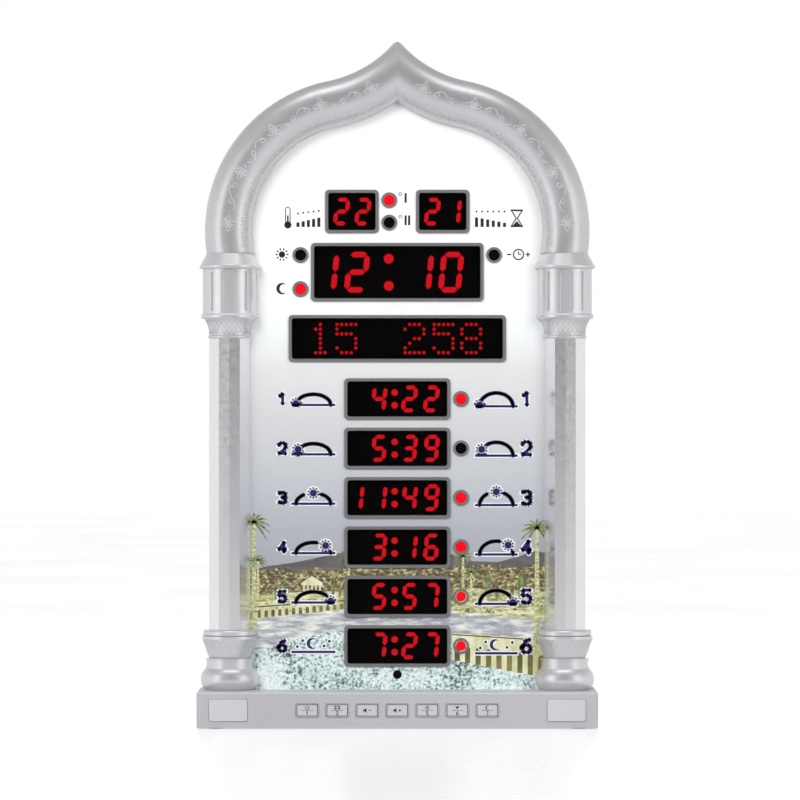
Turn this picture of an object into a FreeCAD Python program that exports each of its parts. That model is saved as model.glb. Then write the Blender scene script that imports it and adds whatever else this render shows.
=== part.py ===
import FreeCAD, Part
import os
from math import acos, asin, cos, degrees, radians, sin, sqrt

# Azan clock in an ogee arch between two half-round columns on a plinth.
# Millimetres. X runs to the right, Y from the front towards the wall, Z up from the floor.
# The origin is the centre of the footprint, on the floor.

V = FreeCAD.Vector

# Depths
depth = 68.0
face_plane_y = 4.0
key_proud = 0.8

# Plinth and feet
plinth_width = 298.0
plinth_height = 26.2
plinth_wall = 2.5
plinth_corner_radius = 2.5
plinth_edge_bevel = 0.9
bottom_plate_thickness = 2.0
bottom_plate_gap = 0.2
foot_radius = 6.0
foot_height = 0.8
foot_inset_x = 14.0
foot_inset_y = 12.0
plinth_post_radius = 3.6
plinth_post_inset_x = 34.0
plinth_post_inset_y = 12.0

# Blank plates on the plinth
blank_width = 28.3
blank_height = 16.2
blank_proud = 0.8
blank_recess = 0.6
blank_radius = 1.4
blank_gap = 0.25

# Keys and their switches
key_count = 7
key_pitch = 22.26
key_width = 16.8
key_height = 9.9
key_radius = 1.2
key_gap = 0.25
key_wall = 1.4
key_flange = 1.0
key_flange_thickness = 1.0
key_stem_width = 3.6
plunger_radius = 1.7
plunger_out = 1.0
plunger_in = 1.6
plunger_gap = 0.06
plunger_well_floor = 0.5
switch_size = 6.0
switch_depth = 3.5
switch_offset = 2.2
key_board_thickness = 1.6
key_board_height = 17.0
key_board_margin = 18.0
key_post_radius = 2.6
key_post_margin = 7.0

# Columns, from the plinth up
column_inset = 23.5
column_wall = 2.2
base_foot_radius = 18.7
base_bulge_radius = 22.0
base_bulge_height = 16.0
base_band_radius = 18.2
base_band_height = 7.5
base_band_recess = 0.6
base_band_edge = 1.1
base_neck_radius = 15.7
base_flare_radius = 20.9
base_flare_height = 14.9
base_step_height = 1.9
base_lip_radius = 20.0
base_lip_height = 4.5
shaft_radius = 15.6
shaft_height = 218.3
shaft_facets = 4
ring_radius = 16.5
ring_height = 2.7
bell_foot_radius = 15.5
bell_mouth_radius = 19.2
bell_hollow = 0.9
bell_height = 12.0
lip_radius = 21.6
lip_height = 3.7
drum_radius = 20.4
drum_height = 33.7
flute_count = 4
flute_spacing_deg = 25.0
flute_radius = 1.3
flute_margin = 2.2
bead_radius = 22.9
bead_height = 3.1
collar_radius = 17.3
collar_height = 8.8
lip_bevel = 0.9

# Ogee arch
arch_beyond_column = 0.95
arch_centre_x = 29.4
spring_above_collar = 16.5
arch_turn_deg = 11.4
ogee_radius = 107.4
moulding_half_width = 17.7
moulding_depth = 17.7
moulding_rim = 2.0
moulding_wall = 2.2
moulding_inner_flats = 4
sweep_past_deg = 3.0
tip_radius = 4.8
inner_tip_radius = 1.0

# Front frame, printed face and rear housing
frame_outset = 14.0
frame_thickness = 4.0
frame_ledge = 4.0
face_thickness = 2.0
face_tuck = 3.7
face_gap = 0.2
housing_outset = 12.0
housing_wall = 2.5
housing_edge_bevel = 1.5
closing_post_radius = 3.4
closing_post_outset = 1.1
closing_post_foot = 12.0
closing_post_shoulder_deg = 20.0

# Windows in the face: width and height over the bezel, stacked up from the lowest row by their gaps
row_window_width = 79.6
row_window_height = 31.1
row_count = 6
row_last_rise = 32.55
row_gap = 5.95
date_window_width = 163.0
date_window_height = 35.2
date_window_gap = 12.15
time_window_width = 129.5
time_window_height = 43.9
time_window_gap = 10.25
small_window_width = 40.2
small_window_height = 32.6
small_window_x = 34.05
small_window_gap = 7.25
bezel_border = 2.3
bezel_radius = 3.0
sight_radius = 2.0
hidden_bevel = 2.0
bezel_proud = 1.2
bezel_wall = 0.8
bezel_gap = 0.15
lens_lap = 0.7
lens_gap = 0.1
lens_thickness = 1.6
display_clear = 0.6
display_thickness = 8.0
display_margin = 0.6
seam_width = 0.4
seam_depth = 0.4

# Indicator lamps and infra-red receiver
lamp_radius = 4.1
lamp_dome = 1.2
lamp_proud = 0.9
ring_outer_radius = 6.0
ring_proud = 0.8
lamp_gap = 0.1
unit_lamp_x = -6.0
unit_lamp_pitch = 16.7
side_lamp_x = 72.6
side_lamp_lift = 12.8
side_lamp_pitch = 25.5
row_lamp_x = 47.8
receiver_radius = 3.3
receiver_rise = 11.1
receiver_gap = 0.1

# Boards and screws
board_thickness = 1.6
board_half_width = 100.0
board_low_rise = 6.0
board_top_margin = 13.3
board_post_radius = 3.0
board_post_x = 93.0
board_post_margin = 8.0
screw_radius = 1.4
screw_head_radius = 2.8
screw_head_height = 1.3
screw_length = 9.0
screw_gap = 0.05
screw_hole_gap = 0.3
pilot_extra = 2.0
board_screw_radius = 1.1
board_screw_head_radius = 2.2
board_screw_length = 7.0

# Loudspeaker and its slots
speaker_rise = 150.0
speaker_radius = 28.0
speaker_flange = 1.2
speaker_depth = 9.5
speaker_magnet_radius = 14.0
speaker_clear = 1.7
speaker_cone_radius = 24.0
speaker_cone_thickness = 0.8
speaker_cone_depth = 5.0
speaker_cap_radius = 8.0
slot_count = 9
slot_pitch = 5.2
slot_width = 2.4

# Power inlet
inlet_x = 84.0
inlet_rise = 26.0
inlet_nose_radius = 4.0
inlet_bore_radius = 2.9
inlet_bore_depth = 9.0
inlet_pin_radius = 1.05
inlet_body_size = 11.0
inlet_body_depth = 11.0
inlet_pin_root = 1.0

# Backup cell behind its door
cell_x = -70.0
cell_rise = 60.0
cell_radius = 10.0
cell_thickness = 3.2
cell_gap = 0.2
holder_size = 25.0
holder_floor = 1.6
pocket_width = 32.0
pocket_height = 30.0
pocket_depth = 8.5
pocket_wall = 1.5
pocket_radius = 1.5
door_lap = 2.5
door_thickness = 1.5
door_gap = 0.2

# Hanging keyholes
keyhole_x = 60.0
keyhole_above_board = 10.0
keyhole_entry_radius = 5.0
keyhole_slot_radius = 2.6
keyhole_slot_length = 8.0

# How far a cutting tool runs past the wall that it cuts
past = 1.0

# Levels worked out from the above
front_y = -depth / 2
rear_y = depth / 2
column_x = plinth_width / 2 - column_inset
arch_half_span = column_x + arch_beyond_column
plinth_front_y = front_y + key_proud
plinth_top = foot_height + plinth_height
base_height = base_bulge_height + base_band_height + base_flare_height + base_step_height + base_lip_height
shaft_z = plinth_top + base_height
capital_z = shaft_z + shaft_height
capital_height = ring_height + bell_height + lip_height + drum_height + bead_height + collar_height
arch_foot_z = capital_z + capital_height
arch_centre = V(arch_centre_x, 0, arch_foot_z + spring_above_collar)
arch_radius = arch_half_span - arch_centre_x
turn = radians(arch_turn_deg)
ogee_centre = arch_centre + V(sin(turn), 0, cos(turn)) * (arch_radius + ogee_radius)
frame_back_y = face_plane_y + frame_thickness
housing_inner_y = rear_y - housing_wall
face_back_y = face_plane_y + face_thickness
lens_front_y = face_plane_y
lens_back_y = lens_front_y + lens_thickness
display_front_y = lens_back_y + display_clear
board_front_y = display_front_y + display_thickness
board_back_y = board_front_y + board_thickness
row_pitch = row_window_height + row_gap
row_rises = [row_last_rise + row_pitch * (row_count - 1 - row) for row in range(row_count)]
date_window_rise = row_rises[0] + (row_window_height + date_window_height) / 2 + date_window_gap
time_window_rise = date_window_rise + (date_window_height + time_window_height) / 2 + time_window_gap
small_window_rise = time_window_rise + (time_window_height + small_window_height) / 2 + small_window_gap
board_high_rise = small_window_rise + small_window_height / 2 + board_top_margin
keyhole_rise = board_high_rise + keyhole_above_board
plinth_inner_y = plinth_front_y + plinth_wall
key_z = foot_height + plinth_height / 2
key_xs = [key_pitch * (key - (key_count - 1) / 2) for key in range(key_count)]
plinth_inner_top = plinth_top - plinth_wall
bottom_plate_top = foot_height + bottom_plate_thickness


def block(x0, x1, y0, y1, z0, z1):
    return Part.makeBox(x1 - x0, y1 - y0, z1 - z0, V(x0, y0, z0))


def rod_y(radius, x, z, y0, y1):
    return Part.makeCylinder(radius, y1 - y0, V(x, y0, z), V(0, 1, 0))


def rod_z(radius, x, y, z0, z1):
    return Part.makeCylinder(radius, z1 - z0, V(x, y, z0))


def rounded_block(x, z, width, height, radius, y0, y1):
    """Block with rounded corners in the XZ plane, centred on x and z."""
    solid = block(x - width / 2, x + width / 2, y0, y1, z - height / 2, z + height / 2)
    along_y = [e for e in solid.Edges if abs(e.tangentAt(e.FirstParameter).y) > 0.9]
    return solid.makeFillet(radius, along_y)


def bevelled_block(x, z, width, height, bevel, y0, y1):
    """Block with flat bevels at its corners in the XZ plane, for openings that a flange hides."""
    solid = block(x - width / 2, x + width / 2, y0, y1, z - height / 2, z + height / 2)
    along_y = [e for e in solid.Edges if abs(e.tangentAt(e.FirstParameter).y) > 0.9]
    return solid.makeChamfer(bevel, along_y)


def cut_all(solid, tools):
    return solid.cut(Part.makeCompound(tools)) if tools else solid


def fuse_all(solid, tools):
    return solid.fuse(tools).removeSplitter() if tools else solid


def mirrored(shape):
    return shape.mirror(V(0, 0, 0), V(1, 0, 0))


def flipped(point):
    return V(-point.x, point.y, point.z)


def arc_about(centre, start, end):
    """Arc under half a turn from start to end about a centre."""
    radius = (start - centre).Length
    middle = centre + ((start - centre) + (end - centre)).normalize() * radius
    return Part.Arc(start, middle, end).toShape()


def arch_plate(outset, floor_z, y0, y1, tip):
    """Plate with the ogee outline, moved out from the moulding's middle line by an outset."""
    spring = V(arch_half_span + outset, 0, arch_centre.z)
    corner = V(spring.x, 0, floor_z)
    upper_radius = ogee_radius - outset
    join = arch_centre + V(sin(turn), 0, cos(turn)) * (arch_radius + outset)
    tip_z = ogee_centre.z - sqrt((upper_radius + tip) ** 2 - ogee_centre.x ** 2)
    tip_centre = V(0, 0, tip_z)
    tip_start = ogee_centre + (tip_centre - ogee_centre).normalize() * upper_radius
    right = [
        Part.LineSegment(corner, spring).toShape(),
        arc_about(arch_centre, spring, join),
        arc_about(ogee_centre, join, tip_start),
    ]
    left = [mirrored(edge) for edge in right]
    top = Part.Arc(tip_start, V(0, 0, tip_z + tip), flipped(tip_start)).toShape()
    floor = Part.LineSegment(flipped(corner), corner).toShape()
    wire = Part.Wire(Part.__sortEdges__(right + [top] + left + [floor]))
    face = Part.Face(wire)
    face.translate(V(0, y0, 0))
    return face.extrude(V(0, y1 - y0, 0))


def moulding_section(half_width, depth_out, rim, flats):
    """Face of the moulding's section at the spring line: a rim each side and a round crest,
    or a crest of flats where their number isn't 0."""
    x = arch_half_span
    z = arch_centre.z
    left_back = V(x - half_width, face_plane_y, z)
    left_rim = V(x - half_width, face_plane_y - rim, z)
    crest = V(x, face_plane_y - depth_out, z)
    right_rim = V(x + half_width, face_plane_y - rim, z)
    right_back = V(x + half_width, face_plane_y, z)
    over = Part.Arc(left_rim, crest, right_rim).toShape()
    crest_edges = Part.makePolygon(over.discretize(flats + 1)).Edges if flats else [over]
    edges = [Part.LineSegment(left_back, left_rim).toShape()] + crest_edges
    edges.append(Part.LineSegment(right_rim, right_back).toShape())
    edges.append(Part.LineSegment(right_back, left_back).toShape())
    return Part.Face(Part.Wire(edges))


def swept_arch(half_width, depth_out, rim, flats):
    """Solid moulding along the whole arch, mitred at the apex and cut level at its feet."""
    section = moulding_section(half_width, depth_out, rim, flats)
    run_down = degrees(asin(spring_above_collar / (arch_radius - half_width))) + sweep_past_deg
    start = section.copy()
    start.rotate(arch_centre, V(0, 1, 0), run_down)
    lower = start.revolve(arch_centre, V(0, -1, 0), run_down + 90 - arch_turn_deg)
    joint = section.copy()
    joint.rotate(arch_centre, V(0, -1, 0), 90 - arch_turn_deg)
    run_up = degrees(asin(ogee_centre.x / (ogee_radius - half_width))) - arch_turn_deg + sweep_past_deg
    upper = joint.revolve(ogee_centre, V(0, 1, 0), run_up)
    reach = 2 * plinth_width
    quarter = block(0, reach, -reach, reach, arch_foot_z, arch_foot_z + reach)
    half = lower.fuse(upper).common(quarter)
    return half.fuse(mirrored(half)).removeSplitter()


def arch_moulding():
    solid = swept_arch(moulding_half_width, moulding_depth, moulding_rim, 0)
    trim = arch_plate(moulding_half_width, arch_foot_z, face_plane_y - depth, rear_y, tip_radius)
    skirt = block(-plinth_width, plinth_width, face_plane_y - depth, rear_y, 0, arch_centre.z)
    solid = solid.common(trim.fuse(skirt))
    hollow_half = moulding_half_width - moulding_wall
    return solid.cut(swept_arch(hollow_half, moulding_depth - moulding_wall, moulding_rim, moulding_inner_flats))


def turned(path, bore_radius):
    """Half-round turned piece with a flat back. The path lists (radius, height) points;
    a triple of numbers in it is (bulge, radius, height), an arc that swells by the bulge."""
    points = [V(0, 0, 0)]
    edges = []
    for step in path:
        last = points[-1]
        end = V(step[-2], 0, step[-1])
        if len(step) == 3:
            chord = end - last
            middle = (last + end) * 0.5 + V(chord.z, 0, -chord.x).normalize() * step[0]
            edges.append(Part.Arc(last, middle, end).toShape())
        else:
            edges.append(Part.LineSegment(last, end).toShape())
        points.append(end)
    top = V(0, 0, points[-1].z)
    edges.append(Part.LineSegment(points[-1], top).toShape())
    edges.append(Part.LineSegment(top, points[0]).toShape())
    face = Part.Face(Part.Wire(edges))
    solid = face.revolve(V(0, 0, 0), V(0, 0, -1), 180)
    return solid.cut(rod_z(bore_radius, 0, 0, -past, top.z + past))


def lip(radius, start_z, height):
    """Path of a bead with a bevelled edge above and below."""
    inner = radius - lip_bevel
    end_z = start_z + height
    return [(inner, start_z), (radius, start_z + lip_bevel), (radius, end_z - lip_bevel), (inner, end_z)]


def column_base():
    band_z = base_bulge_height
    flare_z = band_z + base_band_height
    step_z = flare_z + base_flare_height
    lip_z = step_z + base_step_height
    swell = base_bulge_radius - (base_foot_radius + base_band_radius) / 2
    recess_radius = base_band_radius - base_band_recess
    path = [
        (base_foot_radius, 0),
        (swell, base_band_radius, band_z),
        (base_band_radius, band_z + base_band_edge),
        (recess_radius, band_z + base_band_edge),
        (recess_radius, flare_z - base_band_edge),
        (base_band_radius, flare_z - base_band_edge),
        (base_band_radius, flare_z),
        (base_neck_radius, flare_z),
        (base_flare_radius, step_z),
        (base_flare_radius, lip_z),
    ]
    path += lip(base_lip_radius, lip_z, base_lip_height)
    return turned(path, base_neck_radius - column_wall)


def column_shaft():
    points = []
    for corner in range(shaft_facets + 1):
        x = shaft_radius * (2 * corner / shaft_facets - 1)
        points.append(V(x, -sqrt(max(shaft_radius ** 2 - x ** 2, 0)), 0))
    outline = Part.makePolygon(points + [points[0]])
    solid = Part.Face(outline).extrude(V(0, 0, shaft_height))
    outer_facet = acos(1 - 2 / shaft_facets)
    bore_radius = shaft_radius * cos(outer_facet / 2) - column_wall
    return solid.cut(rod_z(bore_radius, 0, 0, -past, shaft_height + past))


def flute(angle_deg, low_z, high_z):
    """Round groove down the drum, at an angle from the front."""
    angle = radians(angle_deg)
    return rod_z(flute_radius, drum_radius * sin(angle), -drum_radius * cos(angle), low_z, high_z)


def capital():
    bell_z = ring_height
    lip_z = bell_z + bell_height
    drum_z = lip_z + lip_height
    bead_z = drum_z + drum_height
    collar_z = bead_z + bead_height
    path = lip(ring_radius, 0, ring_height)
    path += [(bell_foot_radius, bell_z), (-bell_hollow, bell_mouth_radius, lip_z)]
    path += lip(lip_radius, lip_z, lip_height)
    path += [(drum_radius, drum_z), (drum_radius, bead_z)]
    path += lip(bead_radius, bead_z, bead_height)
    path += [(collar_radius, collar_z + collar_height)]
    solid = turned(path, bell_foot_radius - column_wall)
    angles = [flute_spacing_deg * (k - (flute_count - 1) / 2) for k in range(flute_count)]
    return cut_all(solid, [flute(a, drum_z + flute_margin, bead_z - flute_margin) for a in angles])


def on_column(side, shape, z):
    placed = shape.copy()
    placed.translate(V(side * column_x, face_plane_y, z))
    return placed


def windows():
    """Name, centre x, centre rise, width, height and number of digits of each window."""
    small = (small_window_rise, small_window_width, small_window_height, 2)
    rows = [
        (f"prayer_{row + 1}", 0, rise, row_window_width, row_window_height, 4)
        for row, rise in enumerate(row_rises)
    ]
    return [
        ("temperature", -small_window_x) + small,
        ("countdown", small_window_x) + small,
        ("time", 0, time_window_rise, time_window_width, time_window_height, 4),
        ("date", 0, date_window_rise, date_window_width, date_window_height, 1),
    ] + rows


def lamp_places():
    """Centres of the indicator lamps: units, half of the day, summer time and one for each row."""
    pair = unit_lamp_pitch / 2
    side_lamp_rise = time_window_rise + side_lamp_lift
    places = [(unit_lamp_x, small_window_rise + pair), (unit_lamp_x, small_window_rise - pair)]
    places += [(-side_lamp_x, side_lamp_rise), (-side_lamp_x, side_lamp_rise - side_lamp_pitch)]
    places += [(side_lamp_x, side_lamp_rise)]
    places += [(row_lamp_x, rise) for rise in row_rises]
    return [(x, plinth_top + rise) for x, rise in places]


def lens_size(width, height):
    opening = 2 * bezel_border
    return width - opening + 2 * lens_lap, height - opening + 2 * lens_lap


def spigot_size(width, height):
    lens_width, lens_height = lens_size(width, height)
    grow = 2 * (lens_gap + bezel_wall)
    return lens_width + grow, lens_height + grow


def bezel(x, z, width, height):
    front = face_plane_y - bezel_proud
    spigot_width, spigot_height = spigot_size(width, height)
    lens_width, lens_height = lens_size(width, height)
    flange = rounded_block(x, z, width, height, bezel_radius, front, face_plane_y)
    spigot = bevelled_block(x, z, spigot_width, spigot_height, hidden_bevel, face_plane_y, display_front_y)
    solid = flange.fuse(spigot)
    sight = rounded_block(
        x, z, width - 2 * bezel_border, height - 2 * bezel_border, sight_radius, front - past, face_plane_y + past
    )
    seat_width = lens_width + 2 * lens_gap
    seat_height = lens_height + 2 * lens_gap
    seat = bevelled_block(x, z, seat_width, seat_height, hidden_bevel, face_plane_y, display_front_y + past)
    return solid.cut(sight).cut(seat)


def lens(x, z, width, height):
    lens_width, lens_height = lens_size(width, height)
    return bevelled_block(x, z, lens_width, lens_height, hidden_bevel, lens_front_y, lens_back_y)


def display(x, z, width, height, digits):
    """Display body that stands on the board, with a seam between its digits."""
    body_width = width - 2 * (bezel_border + display_margin)
    body_height = height - 2 * (bezel_border + display_margin)
    left = x - body_width / 2
    low = z - body_height / 2
    body = block(left, left + body_width, display_front_y, board_front_y, low, low + body_height)
    seams = []
    for digit in range(1, digits):
        seam_x = left + body_width * digit / digits
        seams.append(
            block(
                seam_x - seam_width / 2, seam_x + seam_width / 2,
                display_front_y - past, display_front_y + seam_depth,
                low - past, low + body_height + past,
            )
        )
    return cut_all(body, seams)


def face_cutouts():
    cuts = []
    for name, x, rise, width, height, digits in windows():
        spigot_width, spigot_height = spigot_size(width, height)
        cuts.append(
            bevelled_block(
                x, plinth_top + rise, spigot_width + 2 * bezel_gap, spigot_height + 2 * bezel_gap,
                hidden_bevel, face_plane_y - past, face_back_y + past,
            )
        )
    for x, z in lamp_places():
        cuts.append(rod_y(lamp_radius + lamp_gap, x, z, face_plane_y - past, face_back_y + past))
    receiver_z = plinth_top + receiver_rise
    cuts.append(rod_y(receiver_radius + receiver_gap, 0, receiver_z, face_plane_y - past, face_back_y + past))
    return cuts


def face_plate():
    outset = face_tuck - moulding_half_width
    plate = arch_plate(outset, plinth_top, face_plane_y, face_back_y, inner_tip_radius)
    return cut_all(plate, face_cutouts())


def indicator_ring(x, z):
    """Flat ring on the face around a lamp."""
    front = face_plane_y - ring_proud
    bore = rod_y(lamp_radius + lamp_gap, x, z, front - past, face_plane_y + past)
    return rod_y(ring_outer_radius, x, z, front, face_plane_y).cut(bore)


def indicator_lamp(x, z):
    """Round lamp with a low dome, standing on the board."""
    shoulder = face_plane_y - lamp_proud + lamp_dome
    sphere_radius = (lamp_radius ** 2 + lamp_dome ** 2) / (2 * lamp_dome)
    ball = Part.makeSphere(sphere_radius, V(x, shoulder - lamp_dome + sphere_radius, z))
    body = rod_y(lamp_radius, x, z, shoulder - lamp_dome, shoulder).common(ball)
    return body.fuse(rod_y(lamp_radius, x, z, shoulder, board_front_y)).removeSplitter()


def ir_receiver():
    z = plinth_top + receiver_rise
    window = rod_y(receiver_radius, 0, z, face_plane_y - receiver_gap, display_front_y)
    body = block(
        -receiver_radius, receiver_radius, display_front_y, board_front_y,
        z - receiver_radius, z + receiver_radius,
    )
    return window.fuse(body).removeSplitter()


def closing_posts():
    """Places of the posts on the frame that the rear screws go into."""
    x = arch_half_span + closing_post_outset
    foot_z = plinth_top + closing_post_foot
    angle = turn + radians(closing_post_shoulder_deg)
    shoulder = arch_centre + V(sin(angle), 0, cos(angle)) * (arch_radius + closing_post_outset)
    places = [(x, foot_z), (x, (foot_z + arch_centre.z) / 2), (shoulder.x, shoulder.z)]
    return [(side * px, pz) for px, pz in places for side in (-1, 1)]


def front_frame():
    """Frame that the mouldings stand on, rebated for the face, with posts to the rear wall."""
    plate = arch_plate(frame_outset, plinth_top, face_plane_y, frame_back_y, tip_radius)
    face_outset = face_tuck - moulding_half_width
    rebate = arch_plate(
        face_outset + face_gap, plinth_top - past, face_plane_y - past, face_back_y, inner_tip_radius
    )
    opening = arch_plate(
        face_outset - frame_ledge, plinth_top + frame_ledge, face_plane_y - past, frame_back_y + past,
        inner_tip_radius,
    )
    posts = [
        rod_y(closing_post_radius, x, z, frame_back_y, housing_inner_y) for x, z in closing_posts()
    ]
    pilots = [
        rod_y(screw_radius + screw_gap, x, z, housing_inner_y - screw_length - pilot_extra, rear_y)
        for x, z in closing_posts()
    ]
    return cut_all(fuse_all(plate.cut(rebate).cut(opening), posts), pilots)


def screw(radius, head_radius, length, head_height, x, z, y_seat, direction):
    """Screw along Y. Its head sits at y_seat and its shank runs in the direction given."""
    head_end = y_seat - direction * head_height
    tip = y_seat + direction * length
    head = rod_y(head_radius, x, z, min(y_seat, head_end), max(y_seat, head_end))
    shank = rod_y(radius, x, z, min(y_seat, tip), max(y_seat, tip))
    return head.fuse(shank)


def counterbore(x, z):
    hole = rod_y(screw_radius + screw_hole_gap, x, z, housing_inner_y - past, rear_y + past)
    seat = rod_y(screw_head_radius + screw_hole_gap, x, z, rear_y - screw_head_height, rear_y + past)
    return hole.fuse(seat)


def board_posts():
    low = plinth_top + board_low_rise + board_post_margin
    high = plinth_top + board_high_rise - board_post_margin
    return [(side * board_post_x, z) for z in (low, high) for side in (-1, 1)]


def keyhole(x):
    z = plinth_top + keyhole_rise
    top = z + keyhole_slot_length
    entry = rod_y(keyhole_entry_radius, x, z, housing_inner_y - past, rear_y + past)
    slot = block(
        x - keyhole_slot_radius, x + keyhole_slot_radius, housing_inner_y - past, rear_y + past, z, top
    )
    end = rod_y(keyhole_slot_radius, x, top, housing_inner_y - past, rear_y + past)
    return entry.fuse([slot, end])


def speaker_slots():
    """Slots that fill a circle over the loudspeaker's cone."""
    z = plinth_top + speaker_rise
    slots = []
    for row in range(slot_count):
        offset = slot_pitch * (row - (slot_count - 1) / 2)
        reach = sqrt(max(speaker_cone_radius ** 2 - offset ** 2, 0)) - slot_width
        low = z + offset - slot_width / 2
        slots.append(block(-reach, reach, housing_inner_y - past, rear_y + past, low, low + slot_width))
    return slots


def rear_housing():
    """Deep tray behind the frame: rear wall, side walls, board posts and the cell's pocket."""
    body = arch_plate(housing_outset, plinth_top, frame_back_y, rear_y, tip_radius)
    back_edges = [e for e in body.Edges if abs(e.CenterOfMass.y - rear_y) < 0.01]
    body = body.makeChamfer(housing_edge_bevel, back_edges)
    inside = arch_plate(
        housing_outset - housing_wall, plinth_top + housing_wall, frame_back_y - past, housing_inner_y, tip_radius
    )
    body = body.cut(inside)
    posts = [rod_y(board_post_radius, x, z, board_back_y, housing_inner_y) for x, z in board_posts()]
    pocket_z = plinth_top + cell_rise
    pocket_front = rear_y - door_thickness - pocket_depth
    half_width = pocket_width / 2
    half_height = pocket_height / 2
    outer = block(
        cell_x - half_width - pocket_wall, cell_x + half_width + pocket_wall,
        pocket_front - pocket_wall, housing_inner_y,
        pocket_z - half_height - pocket_wall, pocket_z + half_height + pocket_wall,
    )
    body = fuse_all(body, posts + [outer])
    pocket = block(
        cell_x - half_width, cell_x + half_width, pocket_front, rear_y + past,
        pocket_z - half_height, pocket_z + half_height,
    )
    rebate = rounded_block(
        cell_x, pocket_z, pocket_width + 2 * door_lap, pocket_height + 2 * door_lap, pocket_radius,
        rear_y - door_thickness, rear_y + past,
    )
    cuts = [pocket, rebate, keyhole(-keyhole_x), keyhole(keyhole_x)] + speaker_slots()
    cuts += [counterbore(x, z) for x, z in closing_posts()]
    inlet_z = plinth_top + inlet_rise
    cuts.append(rod_y(inlet_nose_radius + bezel_gap, inlet_x, inlet_z, housing_inner_y - past, rear_y + past))
    board_tip = board_front_y + board_screw_length + pilot_extra
    cuts += [
        rod_y(board_screw_radius + screw_gap, x, z, board_back_y - past, board_tip) for x, z in board_posts()
    ]
    for tool in cuts:
        body = body.cut(tool)
    return body


def battery_door():
    shrink = 2 * (door_lap - door_gap)
    return rounded_block(
        cell_x, plinth_top + cell_rise, pocket_width + shrink, pocket_height + shrink, pocket_radius,
        rear_y - door_thickness, rear_y,
    )


def battery_holder():
    z = plinth_top + cell_rise
    floor_y = rear_y - door_thickness - pocket_depth
    top_y = floor_y + holder_floor + cell_thickness
    half = holder_size / 2
    body = block(cell_x - half, cell_x + half, floor_y, top_y, z - half, z + half)
    return body.cut(rod_y(cell_radius + cell_gap, cell_x, z, floor_y + holder_floor, top_y + past))


def coin_cell():
    floor_y = rear_y - door_thickness - pocket_depth + holder_floor
    z = plinth_top + cell_rise
    return rod_y(cell_radius, cell_x, z, floor_y, floor_y + cell_thickness)


def display_board():
    board = block(
        -board_half_width, board_half_width, board_front_y, board_back_y,
        plinth_top + board_low_rise, plinth_top + board_high_rise,
    )
    holes = [
        rod_y(board_screw_radius + screw_hole_gap, x, z, board_front_y - past, board_back_y + past)
        for x, z in board_posts()
    ]
    return cut_all(board, holes)


def board_screws():
    return [
        screw(
            board_screw_radius, board_screw_head_radius, board_screw_length, screw_head_height,
            x, z, board_front_y, 1,
        )
        for x, z in board_posts()
    ]


def loudspeaker():
    """Frame and magnet of the loudspeaker, its flange against the rear wall."""
    z = plinth_top + speaker_rise
    flange_y = housing_inner_y - speaker_flange
    basket_y = housing_inner_y - speaker_depth
    flange = rod_y(speaker_radius, 0, z, flange_y, housing_inner_y)
    basket = Part.makeCone(
        speaker_magnet_radius, speaker_cone_radius + speaker_flange, flange_y - basket_y,
        V(0, basket_y, z), V(0, 1, 0),
    )
    magnet = rod_y(speaker_magnet_radius, 0, z, board_back_y + speaker_clear, basket_y)
    solid = flange.fuse([basket, magnet]).removeSplitter()
    hollow = Part.makeCone(
        speaker_cap_radius, speaker_cone_radius, speaker_cone_depth,
        V(0, housing_inner_y - speaker_cone_depth, z), V(0, 1, 0),
    )
    return solid.cut(hollow)


def speaker_cone():
    """Paper cone with its dust cap, lying in the loudspeaker's frame."""
    z = plinth_top + speaker_rise
    low_y = housing_inner_y - speaker_cone_depth
    outer = Part.makeCone(
        speaker_cap_radius, speaker_cone_radius, speaker_cone_depth, V(0, low_y, z), V(0, 1, 0)
    )
    inner = Part.makeCone(
        speaker_cap_radius, speaker_cone_radius, speaker_cone_depth,
        V(0, low_y + speaker_cone_thickness, z), V(0, 1, 0),
    )
    return outer.cut(inner)


def dc_inlet():
    """Barrel inlet: a round nose in the rear wall, a square body inside and a centre pin."""
    z = plinth_top + inlet_rise
    half = inlet_body_size / 2
    nose = rod_y(inlet_nose_radius, inlet_x, z, housing_inner_y, rear_y)
    body = block(
        inlet_x - half, inlet_x + half, housing_inner_y - inlet_body_depth, housing_inner_y, z - half, z + half
    )
    bore_floor_y = rear_y - inlet_bore_depth
    bore = rod_y(inlet_bore_radius, inlet_x, z, bore_floor_y, rear_y + past)
    pin = rod_y(inlet_pin_radius, inlet_x, z, bore_floor_y - inlet_pin_root, rear_y - inlet_pin_root)
    return nose.fuse(body).removeSplitter().cut(bore).fuse(pin)


def foot_places():
    x = plinth_width / 2 - foot_inset_x
    y_front = plinth_front_y + foot_inset_y
    y_rear = rear_y - foot_inset_y
    return [(side * x, y) for y in (y_front, y_rear) for side in (-1, 1)]


def plinth_posts():
    x = plinth_width / 2 - plinth_post_inset_x
    y_front = plinth_front_y + plinth_post_inset_y
    y_rear = rear_y - plinth_post_inset_y
    return [(side * x, y) for y in (y_front, y_rear) for side in (-1, 1)]


key_flange_back_y = plinth_inner_y + key_flange_thickness
switch_front_y = plinth_inner_y + key_flange_thickness + switch_offset + plunger_out
key_board_y = switch_front_y + switch_depth


def key_posts():
    x = key_xs[-1] + key_post_margin + key_width / 2
    return [(side * x, key_z) for side in (-1, 1)]


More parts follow.
